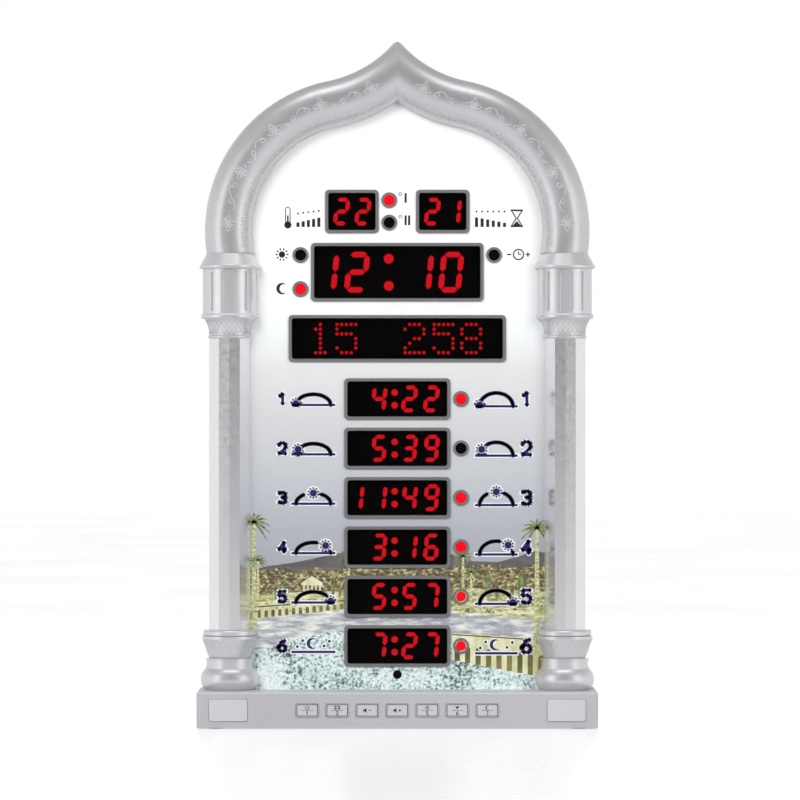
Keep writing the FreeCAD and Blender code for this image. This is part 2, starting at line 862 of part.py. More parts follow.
def plinth_shell():
    """Open-bottomed box with key openings, recesses for the blank plates and screw posts."""
    half = plinth_width / 2
    body = block(-half, half, plinth_front_y, rear_y, foot_height, plinth_top)
    upright = [e for e in body.Edges if abs(e.tangentAt(e.FirstParameter).z) > 0.9]
    body = body.makeFillet(plinth_corner_radius, upright)
    top_edges = [e for e in body.Edges if e.BoundBox.ZMin > plinth_top - 0.01]
    body = body.makeChamfer(plinth_edge_bevel, top_edges)
    wall = plinth_wall
    body = body.cut(
        block(-half + wall, half - wall, plinth_inner_y, rear_y - wall, foot_height - past, plinth_inner_top)
    )
    posts = [
        rod_z(plinth_post_radius, x, y, bottom_plate_top, plinth_inner_top) for x, y in plinth_posts()
    ]
    posts += [rod_y(key_post_radius, x, z, plinth_inner_y, key_board_y) for x, z in key_posts()]
    body = fuse_all(body, posts)
    cuts = [
        rounded_block(
            x, key_z, key_width + 2 * key_gap, key_height + 2 * key_gap, key_radius + key_gap,
            plinth_front_y - past, plinth_inner_y + past,
        )
        for x in key_xs
    ]
    cuts += [
        rounded_block(
            side * column_x, key_z, blank_width + 2 * blank_gap, blank_height + 2 * blank_gap,
            blank_radius + blank_gap, plinth_front_y - past, plinth_front_y + blank_recess,
        )
        for side in (-1, 1)
    ]
    pilot_top = bottom_plate_top + screw_length + pilot_extra
    cuts += [rod_z(screw_radius + screw_gap, x, y, foot_height, pilot_top) for x, y in plinth_posts()]
    key_pilot = key_board_y - board_screw_length - pilot_extra
    cuts += [
        rod_y(board_screw_radius + screw_gap, x, z, key_pilot, key_board_y + past) for x, z in key_posts()
    ]
    return cut_all(body, cuts)


def plinth_bottom_plate():
    half = plinth_width / 2 - plinth_wall - bottom_plate_gap
    front = plinth_inner_y + bottom_plate_gap
    rear = rear_y - plinth_wall - bottom_plate_gap
    plate = block(-half, half, front, rear, foot_height, bottom_plate_top)
    seat_top = foot_height + screw_head_height
    cuts = []
    for x, y in plinth_posts():
        cuts.append(rod_z(screw_radius + screw_hole_gap, x, y, foot_height - past, bottom_plate_top + past))
        cuts.append(rod_z(screw_head_radius + screw_hole_gap, x, y, foot_height - past, seat_top))
    return cut_all(plate, cuts)


def rubber_feet():
    return [rod_z(foot_radius, x, y, 0, foot_height) for x, y in foot_places()]


def housing_screws():
    """Alike screws: through the rear wall into the frame, and through the bottom plate."""
    rear = [
        screw(
            screw_radius, screw_head_radius, screw_length, screw_head_height,
            x, z, rear_y - screw_head_height, -1,
        )
        for x, z in closing_posts()
    ]
    seat = foot_height + screw_head_height
    under = [
        rod_z(screw_head_radius, x, y, foot_height, seat).fuse(
            rod_z(screw_radius, x, y, seat, seat + screw_length)
        )
        for x, y in plinth_posts()
    ]
    return rear + under


def blank_plate(side):
    front = plinth_front_y - blank_proud
    back = plinth_front_y + blank_recess
    return rounded_block(side * column_x, key_z, blank_width, blank_height, blank_radius, front, back)


def key(x):
    """Key cap with a retaining flange and a stem, and the switch plunger that it presses."""
    cap = rounded_block(x, key_z, key_width, key_height, key_radius, front_y, plinth_inner_y)
    half_width = key_width / 2
    half_height = key_height / 2
    flange = block(
        x - half_width - key_flange, x + half_width + key_flange, plinth_inner_y, key_flange_back_y,
        key_z - half_height - key_flange, key_z + half_height + key_flange,
    )
    hollow = block(
        x - half_width + key_wall, x + half_width - key_wall, front_y + key_wall, key_flange_back_y + past,
        key_z - half_height + key_wall, key_z + half_height - key_wall,
    )
    half = key_stem_width / 2
    plunger_y = switch_front_y - plunger_out
    stem = block(x - half, x + half, front_y + key_wall, plunger_y, key_z - half, key_z + half)
    cap = cap.fuse(flange).removeSplitter().cut(hollow).fuse(stem).removeSplitter()
    plunger = rod_y(plunger_radius, x, key_z, plunger_y, switch_front_y + plunger_in)
    return [cap, plunger]


def tact_switches():
    half = switch_size / 2
    bodies = []
    for x in key_xs:
        body = block(x - half, x + half, switch_front_y, key_board_y, key_z - half, key_z + half)
        well_floor_y = key_board_y - plunger_well_floor
        well = rod_y(plunger_radius + plunger_gap, x, key_z, switch_front_y - past, well_floor_y)
        bodies.append(body.cut(well))
    return bodies


def key_board():
    half = key_xs[-1] + key_board_margin + key_width / 2
    low = key_z - key_board_height / 2
    back = key_board_y + key_board_thickness
    board = block(-half, half, key_board_y, back, low, low + key_board_height)
    holes = [
        rod_y(board_screw_radius + screw_hole_gap, x, z, key_board_y - past, back + past)
        for x, z in key_posts()
    ]
    return cut_all(board, holes)


def key_board_screws():
    return [
        screw(
            board_screw_radius, board_screw_head_radius, board_screw_length, screw_head_height,
            x, z, key_board_y + key_board_thickness, -1,
        )
        for x, z in key_posts()
    ]


def save(node, shapes):
    """Write one node's file from one solid or a list of solids."""
    solids = shapes if isinstance(shapes, list) else [shapes]
    solids = [solid for shape in solids for solid in shape.Solids]
    whole = solids[0] if len(solids) == 1 else Part.makeCompound(solids)
    whole.exportStep(os.path.join("parts", node + ".step"))
    print(node, len(solids), round(sum(solid.Volume for solid in solids)))


def main():
    os.makedirs("parts", exist_ok=True)
    save("arch_moulding", arch_moulding())
    for name, side in (("left", -1), ("right", 1)):
        save(name + "_column_base", on_column(side, column_base(), plinth_top))
        save(name + "_column_shaft", on_column(side, column_shaft(), shaft_z))
        save(name + "_capital", on_column(side, capital(), capital_z))
        save(name + "_blank_plate", blank_plate(side))
    save("front_frame", front_frame())
    save("rear_housing", rear_housing())
    save("face_plate", face_plate())
    row_bezels = []
    row_lenses = []
    for name, x, rise, width, height, digits in windows():
        z = plinth_top + rise
        save(name + "_display", display(x, z, width, height, digits))
        if name.startswith("prayer"):
            row_bezels.append(bezel(x, z, width, height))
            row_lenses.append(lens(x, z, width, height))
        else:
            save(name + "_bezel", bezel(x, z, width, height))
            save(name + "_lens", lens(x, z, width, height))
    save("prayer_bezels", row_bezels)
    save("prayer_lenses", row_lenses)
    save("indicator_rings", [indicator_ring(x, z) for x, z in lamp_places()])
    save("indicator_lamps", [indicator_lamp(x, z) for x, z in lamp_places()])
    save("ir_receiver", ir_receiver())
    save("display_board", display_board())
    save("board_screws", board_screws() + key_board_screws())
    save("loudspeaker", loudspeaker())
    save("speaker_cone", speaker_cone())
    save("dc_inlet", dc_inlet())
    save("battery_holder", battery_holder())
    save("coin_cell", coin_cell())
    save("battery_door", battery_door())
    save("plinth_shell", plinth_shell())
    save("plinth_bottom_plate", plinth_bottom_plate())
    save("rubber_feet", rubber_feet())
    save("housing_screws", housing_screws())
    save("key_board", key_board())
    save("tact_switches", tact_switches())
    for number, x in enumerate(key_xs, 1):
        save(f"key_{number}", key(x))


main()
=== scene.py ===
import bmesh
import bpy
import random
from math import asin, cos, pi, radians, sin, sqrt, tau
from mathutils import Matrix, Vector


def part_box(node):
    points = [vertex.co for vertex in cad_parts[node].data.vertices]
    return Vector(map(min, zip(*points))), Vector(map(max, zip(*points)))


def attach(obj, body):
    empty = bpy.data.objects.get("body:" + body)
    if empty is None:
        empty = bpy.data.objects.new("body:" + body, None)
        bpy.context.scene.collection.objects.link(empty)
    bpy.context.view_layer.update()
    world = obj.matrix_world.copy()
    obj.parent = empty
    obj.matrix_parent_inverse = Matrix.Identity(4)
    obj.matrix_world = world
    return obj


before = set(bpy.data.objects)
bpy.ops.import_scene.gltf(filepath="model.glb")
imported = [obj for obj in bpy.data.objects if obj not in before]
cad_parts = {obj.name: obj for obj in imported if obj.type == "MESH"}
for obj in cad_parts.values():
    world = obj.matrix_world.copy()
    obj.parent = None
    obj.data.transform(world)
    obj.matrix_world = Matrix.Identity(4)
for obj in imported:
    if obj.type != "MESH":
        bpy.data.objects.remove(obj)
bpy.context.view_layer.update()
random.seed(7)

# Millimetres are written as 3 * MM, everything else is in metres
MM = 0.001

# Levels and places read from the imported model
PLINTH_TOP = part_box("plinth_shell")[1][2]
FACE_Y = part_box("face_plate")[0][1]
COLUMN_X = (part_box("right_column_shaft")[0][0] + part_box("right_column_shaft")[1][0]) / 2
DIGIT_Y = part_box("time_display")[0][1] - 0.15 * MM
PRINT_LIFT = 0.008 * MM
CAP_LIFT = 0.15 * MM
RELIEF_SINK = -0.05 * MM

# Photograph: the body stands in it at this scale, seen level from far off
PIXEL = 0.75 * MM
PHOTO_CENTRE_X = 397.3
EYE_HEIGHT = 244.0 * MM
EYE_DISTANCE = 3.3
FRAME_PIXELS = 800

# Ogee moulding, as in the model
ARCH_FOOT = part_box("arch_moulding")[0][2]
ARCH_HALF_SPAN = 126.45 * MM
ARCH_CENTRE_X = 29.4 * MM
SPRING = 16.5 * MM
TURN = radians(11.4)
OGEE_RADIUS = 107.4 * MM
MOULDING_HALF = 17.7 * MM
MOULDING_DEPTH = 17.7 * MM
MOULDING_RIM = 2.0 * MM


def from_photo(px, py):
    """Place on the face plane of a pixel of the photograph."""
    return (px - PHOTO_CENTRE_X) * PIXEL, EYE_HEIGHT + (400 - py) * PIXEL


# Node helpers


class Graph:
    """A node tree and short ways to add nodes to it."""

    def __init__(self, tree):
        self.nodes = tree.nodes
        self.links = tree.links

    def set(self, node, socket, value):
        node.inputs[socket].default_value = value

    def link(self, out, into, socket):
        self.links.new(out, into.inputs[socket])

    def position(self):
        return self.nodes.new("ShaderNodeTexCoord").outputs["Object"]

    def noise(self, scale, detail=3.0, roughness=0.5, vector=None):
        node = self.nodes.new("ShaderNodeTexNoise")
        self.set(node, "Scale", scale)
        self.set(node, "Detail", detail)
        self.set(node, "Roughness", roughness)
        self.link(vector or self.position(), node, "Vector")
        return node.outputs["Fac"]

    def cells(self, scale, vector=None):
        node = self.nodes.new("ShaderNodeTexVoronoi")
        self.set(node, "Scale", scale)
        self.link(vector or self.position(), node, "Vector")
        return node.outputs["Distance"]

    def ramp(self, fac, stops):
        node = self.nodes.new("ShaderNodeValToRGB")
        ramp = node.color_ramp
        while len(ramp.elements) < len(stops):
            ramp.elements.new(0.5)
        for element, (place, color) in zip(ramp.elements, stops):
            element.position = place
            element.color = (*color, 1.0)
        self.link(fac, node, "Fac")
        return node.outputs["Color"]

    def spread(self, value, low, high, to_low=0.0, to_high=1.0):
        node = self.nodes.new("ShaderNodeMapRange")
        sockets = {"From Min": low, "From Max": high, "To Min": to_low, "To Max": to_high}
        for socket, number in sockets.items():
            self.set(node, socket, number)
        self.link(value, node, "Value")
        return node.outputs["Result"]

    def split(self, vector):
        node = self.nodes.new("ShaderNodeSeparateXYZ")
        self.link(vector, node, "Vector")
        return node.outputs

    def stretched(self, *factors):
        """The position scaled differently along each axis."""
        node = self.nodes.new("ShaderNodeVectorMath")
        node.operation = "MULTIPLY"
        self.links.new(self.position(), node.inputs[0])
        node.inputs[1].default_value = factors
        return node.outputs["Vector"]

    def math(self, operation, first, second=0.0):
        node = self.nodes.new("ShaderNodeMath")
        node.operation = operation
        for index, value in enumerate((first, second)):
            if isinstance(value, (int, float)):
                node.inputs[index].default_value = value
            else:
                self.links.new(value, node.inputs[index])
        return node.outputs["Value"]

    def seen(self):
        """1 where the camera, a mirror or a pane of glass looks, 0 for plain lighting."""
        path = self.nodes.new("ShaderNodeLightPath").outputs
        indirect = self.math("MAXIMUM", path["Is Glossy Ray"], path["Is Transmission Ray"])
        return self.math("MAXIMUM", path["Is Camera Ray"], indirect)


class Paint(Graph):
    """A material with a Principled shader."""

    def __init__(self, name, color, roughness=0.5, metallic=0.0, **sockets):
        self.material = bpy.data.materials.new(name)
        self.material.use_nodes = True
        super().__init__(self.material.node_tree)
        self.shader = self.nodes["Principled BSDF"]
        self.set(self.shader, "Base Color", (*color, 1.0))
        self.set(self.shader, "Roughness", roughness)
        self.set(self.shader, "Metallic", metallic)
        for socket, value in sockets.items():
            self.set(self.shader, socket.replace("_", " "), value)

    def color(self, out):
        self.link(out, self.shader, "Base Color")
        return self

    def rough(self, out):
        self.link(out, self.shader, "Roughness")
        return self

    def bump(self, height, distance, strength=1.0):
        node = self.nodes.new("ShaderNodeBump")
        self.set(node, "Distance", distance)
        self.set(node, "Strength", strength)
        self.link(height, node, "Height")
        self.link(node.outputs["Normal"], self.shader, "Normal")
        return self


def mottled(name, tone, roughness, scale=90.0, depth=0.08, **sockets):
    """Even colour with a slight cloudiness of the given depth."""
    paint = Paint(name, tone, roughness, **sockets)
    darker = tuple(channel * (1 - depth) for channel in tone)
    lighter = tuple(min(channel * (1 + depth), 1.0) for channel in tone)
    return paint.color(paint.ramp(paint.noise(scale), [(0.3, darker), (0.7, lighter)]))


def silver_paint(name, tone, roughness=0.3, metallic=0.85):
    """Silver paint on moulded plastic: slow waves in tone and a fine flake."""
    paint = mottled(name, tone, roughness, 14.0, 0.03, metallic=metallic)
    paint.rough(paint.spread(paint.noise(300.0, 2.0), 0.3, 0.7, roughness - 0.04, roughness + 0.04))
    return paint.bump(paint.noise(1500.0, 2.0), 0.004 * MM, 0.2)


def moulded_plastic(name, tone, roughness=0.5, grain=1500.0, depth=0.05 * MM):
    paint = mottled(name, tone, roughness, 25.0, 0.05)
    return paint.bump(paint.noise(grain, 3.0), depth, 0.6)


def glowing(name, tone, strength):
    """Lit lamp or segment: a saturated colour that also gives off light, hotter in places."""
    dim = tuple(channel * 0.3 for channel in tone)
    hot = tuple(min(channel * 1.12 + 0.004, 1.0) for channel in tone)
    paint = Paint(name, dim, 0.5, Emission_Strength=strength, Specular_IOR_Level=0.1)
    out = paint.ramp(paint.noise(350.0, 2.0), [(0.3, tone), (0.75, hot)])
    paint.link(out, paint.shader, "Emission Color")
    return paint


# Mesh helpers


def add_object(name, data):
    item = bpy.data.objects.new(name, data)
    bpy.context.scene.collection.objects.link(item)
    return item


def mesh_piece(name, verts, faces, paint, body="clock", smooth=False):
    mesh = bpy.data.meshes.new(name)
    mesh.from_pydata([tuple(v) for v in verts], [], faces)
    mesh.validate()
    piece = add_object(name, mesh)
    mesh.materials.append(paint.material)
    for polygon in mesh.polygons:
        polygon.use_smooth = smooth
    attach(piece, body)
    return piece


class Shapes:
    """Flat shapes gathered on one plane that faces the front, then made into one piece."""

    def __init__(self, y):
        self.y = y
        self.verts = []
        self.faces = []

    def polygon(self, points):
        start = len(self.verts)
        self.verts += [(x, self.y, z) for x, z in points]
        self.faces.append(tuple(range(start, len(self.verts))))

    def rect(self, x0, z0, x1, z1):
        self.polygon([(x0, z0), (x1, z0), (x1, z1), (x0, z1)])

    def disc(self, x, z, radius, sides=24, flat=1.0):
        turn = tau / sides
        angles = [k * turn for k in range(sides)]
        self.polygon([(x + radius * cos(angle), z + flat * radius * sin(angle)) for angle in angles])

    def ring(self, x, z, inner, outer, start=0.0, end=tau, sides=28):
        step = (end - start) / sides
        for k in range(sides):
            a, b = start + k * step, start + (k + 1) * step
            ends = ((inner, a), (outer, a), (outer, b), (inner, b))
            self.polygon([(x + r * cos(t), z + r * sin(t)) for r, t in ends])

    def line(self, points, width):
        """Stroke through points, with round corners and ends."""
        for (x0, z0), (x1, z1) in zip(points, points[1:]):
            self.stroke(x0, z0, x1, z1, width)
        for x, z in points:
            self.disc(x, z, width / 2, 12)

    def stroke(self, x0, z0, x1, z1, width):
        run, rise = x1 - x0, z1 - z0
        length = sqrt(run * run + rise * rise)
        nx, nz = -rise / length * width / 2, run / length * width / 2
        self.polygon([(x0 + nx, z0 + nz), (x1 + nx, z1 + nz), (x1 - nx, z1 - nz), (x0 - nx, z0 - nz)])

    def piece(self, name, paint, body="clock", slot="face_print", windows=False):
        """The gathered shapes as one piece, cut out at the clock's windows where asked."""
        piece = mesh_piece(name, self.verts, self.faces, paint, body)
        mesh = bmesh.new()
        mesh.from_mesh(piece.data)
        if windows:
            for window in window_boxes():
                cut_window(mesh, *window)
        for face in mesh.faces:
            if face.normal.y > 0:
                face.normal_flip()
        mesh.to_mesh(piece.data)
        mesh.free()


def extent(points):
    """Edges x0, z0, x1, z1 of the box round some points."""
    xs = [point.x for point in points]
    zs = [point.z for point in points]
    return min(xs), min(zs), max(xs), max(zs)


def centre_of(points):
    x0, z0, x1, z1 = extent(points)
    return (x0 + x1) / 2, (z0 + z1) / 2


class Sign:
    """Draws on shapes in millimetres from a centre."""

    def __init__(self, shapes, x, z):
        self.shapes = shapes
        self.x = x
        self.z = z

    def place(self, x, z):
        return self.x + x * MM, self.z + z * MM

    def polygon(self, points):
        self.shapes.polygon([self.place(x, z) for x, z in points])

    def rect(self, x0, z0, x1, z1):
        self.shapes.rect(*self.place(x0, z0), *self.place(x1, z1))

    def disc(self, x, z, radius, sides=24):
        self.shapes.disc(*self.place(x, z), radius * MM, sides)

    def ring(self, x, z, inner, outer, start=0.0, end=tau, sides=28):
        self.shapes.ring(*self.place(x, z), inner * MM, outer * MM, start, end, sides)

    def stroke(self, x0, z0, x1, z1, width):
        self.shapes.stroke(*self.place(x0, z0), *self.place(x1, z1), width * MM)


def window_boxes():
    """Edges x0, z0, x1, z1 of every window opening, just under its bezel."""
    boxes = []
    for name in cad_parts:
        if name.endswith("_display"):
            low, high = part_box(name)
            boxes.append((low[0] - MM, low[2] - MM, high[0] + MM, high[2] + MM))
    return boxes


def cut_window(mesh, x0, z0, x1, z1):
    """Cuts a rectangle out of flat faces that lie across it."""

    def over(face):
        low_x, low_z, high_x, high_z = extent([vert.co for vert in face.verts])
        return low_x < x1 and high_x > x0 and low_z < z1 and high_z > z0

    for place, normal in (
        ((x0, 0, 0), (1, 0, 0)), ((x1, 0, 0), (1, 0, 0)), ((0, 0, z0), (0, 0, 1)), ((0, 0, z1), (0, 0, 1)),
    ):
        faces = [face for face in mesh.faces if over(face)]
        edges = {edge for face in faces for edge in face.edges}
        verts = {vert for face in faces for vert in face.verts}
        bmesh.ops.bisect_plane(mesh, geom=faces + list(edges) + list(verts), plane_co=place, plane_no=normal)
    centres = {face: face.calc_center_median() for face in mesh.faces if over(face)}
    inside = [face for face, centre in centres.items() if x0 < centre.x < x1 and z0 < centre.z < z1]
    bmesh.ops.delete(mesh, geom=inside, context="FACES")


# Camera, lamps and floor


def make_camera():
    data = bpy.data.cameras.new("camera")
    data.sensor_width = 36.0
    data.lens = data.sensor_width * EYE_DISTANCE / (FRAME_PIXELS * PIXEL)
    data.clip_end = 50.0
    camera = add_object("camera", data)
    camera.location = ((FRAME_PIXELS / 2 - PHOTO_CENTRE_X) * PIXEL, FACE_Y - EYE_DISTANCE, EYE_HEIGHT)
    camera.rotation_euler = (pi / 2, 0, 0)
    bpy.context.scene.camera = camera


def make_lamp(name, place, target, wide, tall, power, mirrored=True):
    """Soft panel lamp. One that isn't mirrored lights surfaces but isn't seen in their gloss."""
    data = bpy.data.lights.new(name, "AREA")
    data.shape = "RECTANGLE"
    data.size, data.size_y = wide, tall
    data.energy = power
    lamp = add_object(name, data)
    lamp.location = place
    lamp.rotation_euler = (Vector(target) - Vector(place)).to_track_quat("-Z", "Y").to_euler()
    lamp.visible_glossy = mirrored


def make_world():
    """White beside and behind the clock, dimmer in front and overhead. The camera sees it all white."""
    world = bpy.data.worlds.new("studio")
    bpy.context.scene.world = world
    world.use_nodes = True
    graph = Graph(world.node_tree)
    away = graph.split(graph.nodes.new("ShaderNodeTexCoord").outputs["Generated"])
    room = graph.spread(away["Y"], -0.85, -0.35, 0.2, 1.0)
    ceiling = graph.spread(away["Z"], 0.15, 0.7, 1.0, 0.4)
    level = graph.math("MULTIPLY", room, graph.spread(graph.seen(), 0.0, 1.0, 0.55, 1.0))
    level = graph.math("MULTIPLY", level, ceiling)
    camera = graph.nodes.new("ShaderNodeLightPath").outputs["Is Camera Ray"]
    graph.link(graph.math("MAXIMUM", level, camera), graph.nodes["Background"], "Strength")
    graph.set(graph.nodes["Background"], "Color", (1, 1, 1, 1))


def make_floor():
    """Pale floor with a faint shine, lifted to white where it is seen."""
    paint = mottled("floor_white", (0.42, 0.42, 0.43), 0.3, 3.0, 0.02)
    paint.rough(paint.spread(paint.noise(3.0), 0.3, 0.7, 0.24, 0.30))
    lift = paint.nodes.new("ShaderNodeEmission")
    paint.link(paint.math("MULTIPLY", paint.seen(), 0.52), lift, "Strength")
    total = paint.nodes.new("ShaderNodeAddShader")
    paint.links.new(paint.shader.outputs[0], total.inputs[0])
    paint.links.new(lift.outputs[0], total.inputs[1])
    paint.link(total.outputs[0], paint.nodes["Material Output"], "Surface")
    mesh = bpy.data.meshes.new("floor")
    mesh.from_pydata([(-6, -6, 0), (6, -6, 0), (6, 6, 0), (-6, 6, 0)], [], [(0, 1, 2, 3)])
    mesh.materials.append(paint.material)
    floor = add_object("floor", mesh)


def make_studio():
    """Two tall panels to the sides of the camera, with soft lamps above that the gloss doesn't show."""
    bpy.context.scene.view_settings.view_transform = "Standard"
    make_camera()
    make_world()
    make_floor()
    middle = (0, 0, 0.26)
    make_lamp("left_panel", (-1.3, -1.0, 0.45), middle, 0.7, 1.3, 2.9)
    make_lamp("right_panel", (1.3, -1.0, 0.45), middle, 0.7, 1.3, 2.4)
    make_lamp("key", (-0.9, -1.5, 1.3), middle, 0.9, 0.9, 23, mirrored=False)
    make_lamp("fill", (1.2, -1.5, 0.8), middle, 0.9, 0.9, 15, mirrored=False)
    make_lamp("top", (0, -0.35, 1.6), middle, 1.2, 0.5, 4)


# Materials of the carried-over nodes


def face_print():
    """Glossy printed sheet: white above, and a pale grey evening sky below."""
    paint = Paint("face_print", (0.9, 0.92, 0.95), 0.3)
    height = paint.split(paint.position())["Z"]
    stops = [
        (0.10, (0.36, 0.36, 0.40)), (0.21, (0.40, 0.41, 0.45)), (0.285, (0.46, 0.47, 0.52)),
        (0.356, (0.54, 0.56, 0.60)), (0.50, (0.69, 0.70, 0.71)), (0.57, (0.77, 0.78, 0.79)),
        (0.64, (0.92, 0.94, 0.95)), (0.75, (0.99, 0.99, 0.99)),
    ]
    paint.color(paint.ramp(paint.spread(height, PLINTH_TOP, PLINTH_TOP + 420 * MM), stops))
    return paint.bump(paint.noise(1800.0), 0.005 * MM, 0.3)


def circuit_board():
    paint = Paint("board_green", (0.03, 0.20, 0.08), 0.35)
    return paint.color(paint.ramp(paint.cells(220.0), [(0.3, (0.02, 0.15, 0.06)), (0.5, (0.05, 0.30, 0.12))]))


def soften(node, width):
    """Rounds a node's sharp edges a little."""
    bevel = node.modifiers.new("edges", "BEVEL")
    bevel.width = width
    bevel.segments = 2
    bevel.limit_method = "ANGLE"
    bevel.angle_limit = radians(60)


def paint_nodes():
    """Gives every carried-over node its own material, or that of the first family its name contains."""
    steel = Paint("screw_steel", (0.55, 0.55, 0.57), 0.3, 1.0)
    steel.bump(steel.noise(900.0), 0.02 * MM)
    cell = Paint("cell_steel", (0.62, 0.62, 0.63), 0.25, 1.0)
    cell.rough(cell.spread(cell.noise(300.0), 0.3, 0.7, 0.2, 0.34))
    lens = Paint("lens_smoke", (0.004, 0.002, 0.002), 0.12, Alpha=0.10, Specular_IOR_Level=0.08)
    lens.rough(lens.spread(lens.noise(60.0), 0.3, 0.7, 0.08, 0.16))
    paints = {
        "arch_moulding": silver_paint("arch_silver", (0.60, 0.60, 0.62), 0.34, 0.68),
        "plinth_shell": silver_paint("plinth_silver", (0.57, 0.57, 0.60), 0.45, 0.2),
        "face_plate": face_print(),
        "indicator_lamps": mottled("lamp_off", (0.002, 0.002, 0.002), 0.5, Specular_IOR_Level=0.05),
        "ir_receiver": mottled("receiver_black", (0.003, 0.003, 0.003), 0.3, Specular_IOR_Level=0.05),
        "display_board": circuit_board(),
        "housing_screws": steel,
        "board_screws": steel,
        "loudspeaker": moulded_plastic("speaker_steel", (0.16, 0.16, 0.17), 0.4),
        "speaker_cone": moulded_plastic("cone_paper", (0.03, 0.03, 0.03), 0.8, 2500.0, 0.15 * MM),
        "dc_inlet": moulded_plastic("inlet_black", (0.03, 0.03, 0.03), 0.45),
        "battery_holder": moulded_plastic("holder_black", (0.03, 0.03, 0.03), 0.5),
        "tact_switches": moulded_plastic("switch_black", (0.03, 0.03, 0.03), 0.5),
        "coin_cell": cell,
        "rubber_feet": moulded_plastic("foot_rubber", (0.03, 0.03, 0.03), 0.8, 1800.0, 0.1 * MM),
    }
    paints["key_board"] = paints["display_board"]
    turned = silver_paint("column_silver", (0.68, 0.68, 0.70), 0.32, 0.6)
    bezel = moulded_plastic("bezel_grey", (0.17, 0.17, 0.17), 0.45)
    families = {
        "key_": silver_paint("key_silver", (0.66, 0.66, 0.69), 0.40, 0.2),
        "shaft": silver_paint("shaft_silver", (0.80, 0.80, 0.82), 0.22, 0.9),
        "column": turned,
        "capital": turned,
        "blank_plate": silver_paint("plate_silver", (0.68, 0.68, 0.71), 0.45, 0.1),
        "bezel": bezel,
        "indicator_rings": bezel,
        "lens": lens,
        "_display": mottled("display_black", (0.001, 0.001, 0.001), 0.8, Specular_IOR_Level=0.05),
        "": moulded_plastic("housing_plastic", (0.60, 0.60, 0.62), 0.55, 1100.0, 0.08 * MM),
    }
    for name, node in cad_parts.items():
        paint = paints.get(name) or next(paint for part, paint in families.items() if part in name)
        node.data.materials.clear()
        node.data.materials.append(paint.material)
        if "blank_plate" in name or name.startswith("key_") and name != "key_board":
            soften(node, 0.35 * MM)


# Lit digits


SEGMENTS = {
    "0": "abcdef", "1": "bc", "2": "abged", "3": "abgcd", "4": "fgbc",
    "5": "afgcd", "6": "afgecd", "7": "abc", "8": "abcdefg", "9": "abcdfg",
}
SLANT = 0.10
DOTS = {
    "1": ["..1..", ".11..", "..1..", "..1..", "..1..", "..1..", ".111."],
    "2": [".111.", "1...1", "....1", "..11.", ".1...", "1....", "11111"],
    "5": ["11111", "1....", "1111.", "....1", "....1", "1...1", ".111."],
    "8": [".111.", "1...1", "1...1", ".111.", "1...1", "1...1", ".111."],
}
DOT_PITCH = 3.53 * MM
DOT_RADIUS = 1.30 * MM


def add_digit(shapes, digit, x, z, width, height, bar):
    """Seven-segment digit centred on x and z, leaning to the right."""
    half_w, half_h = (width - bar) / 2, (height - bar) / 2
    gap = 0.10 * bar
    ends = {
        "a": (-half_w, half_h, half_w, half_h),
        "g": (-half_w, 0, half_w, 0),
        "d": (-half_w, -half_h, half_w, -half_h),
        "f": (-half_w, 0, -half_w, half_h),
        "b": (half_w, 0, half_w, half_h),
        "e": (-half_w, -half_h, -half_w, 0),
        "c": (half_w, -half_h, half_w, 0),
    }
    for name in SEGMENTS[digit]:
        x0, z0, x1, z1 = ends[name]
        along = Vector((x1 - x0, z1 - z0)).normalized()
        across = Vector((-along.y, along.x)) * bar / 2
        start = Vector((x0, z0)) + along * gap
        end = Vector((x1, z1)) - along * gap
        inset = along * bar / 2
        outline = [start, start + inset - across, end - inset - across, end, end - inset + across]
        outline.append(start + inset + across)
        shapes.polygon([(x + p.x + SLANT * p.y, z + p.y) for p in outline])


def middle_of(node):
    low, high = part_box(node)
    return (low[0] + high[0]) / 2, (low[2] + high[2]) / 2


def make_digits():
    """Red digits of every window, each window one piece."""
    red = glowing("digit_red", (0.66, 0.004, 0.012), 0.85)
    # Text, a digit's width, height and bar, places, colon's rise and radius, in millimetres
    lit = {
        "time": ("12:10", (17.2, 30.7, 4.2), (-53.2, -30.2, -6.4, 17.9, 40.4), 10.2, 3.7),
        "temperature": ("22", (11.3, 20.9, 3.1), (-7.7, 8.3), 0, 0),
        "countdown": ("21", (11.3, 20.9, 3.1), (-7.7, 8.2), 0, 0),
    }
    rows = [" 4:22", " 5:39", "11:49", " 3:16", " 5:57", " 7:27"]
    for row, text in enumerate(rows, 1):
        places = (-30.9, -13.7, -2.0, 9.2, 25.6)
        lit[f"prayer_{row}"] = (text, (11.3, 20.3, 3.1), places, 4.8, 2.5)
    for name, (text, size, places, colon_rise, colon_radius) in lit.items():
        width, height, bar = (part * MM for part in size)
        x, z = middle_of(name + "_display")
        shapes = Shapes(DIGIT_Y)
        for character, place in zip(text, places):
            if character == ":":
                for side in (-1, 1):
                    shapes.disc(x + place * MM, z + side * colon_rise * MM, colon_radius * MM)
            elif character != " ":
                add_digit(shapes, character, x + place * MM, z, width, height, bar)
        shapes.piece(name + "_digits", red, slot="lamp_red")
    x, z = middle_of("date_display")
    shapes = Shapes(DIGIT_Y)
    starts = (-63.0, -43.5, 7.6, 29.4, 50.2)
    for character, start in zip("15258", starts):
        for row, line in enumerate(DOTS[character]):
            for column, mark in enumerate(line):
                if mark == "1":
                    dot_x = x + start * MM + (column - 0.5) * DOT_PITCH
                    shapes.disc(dot_x, z + (3 - row) * DOT_PITCH, DOT_RADIUS, 12)
    shapes.piece("date_dots", glowing("dot_red", (0.52, 0.004, 0.012), 0.8), slot="lamp_red")


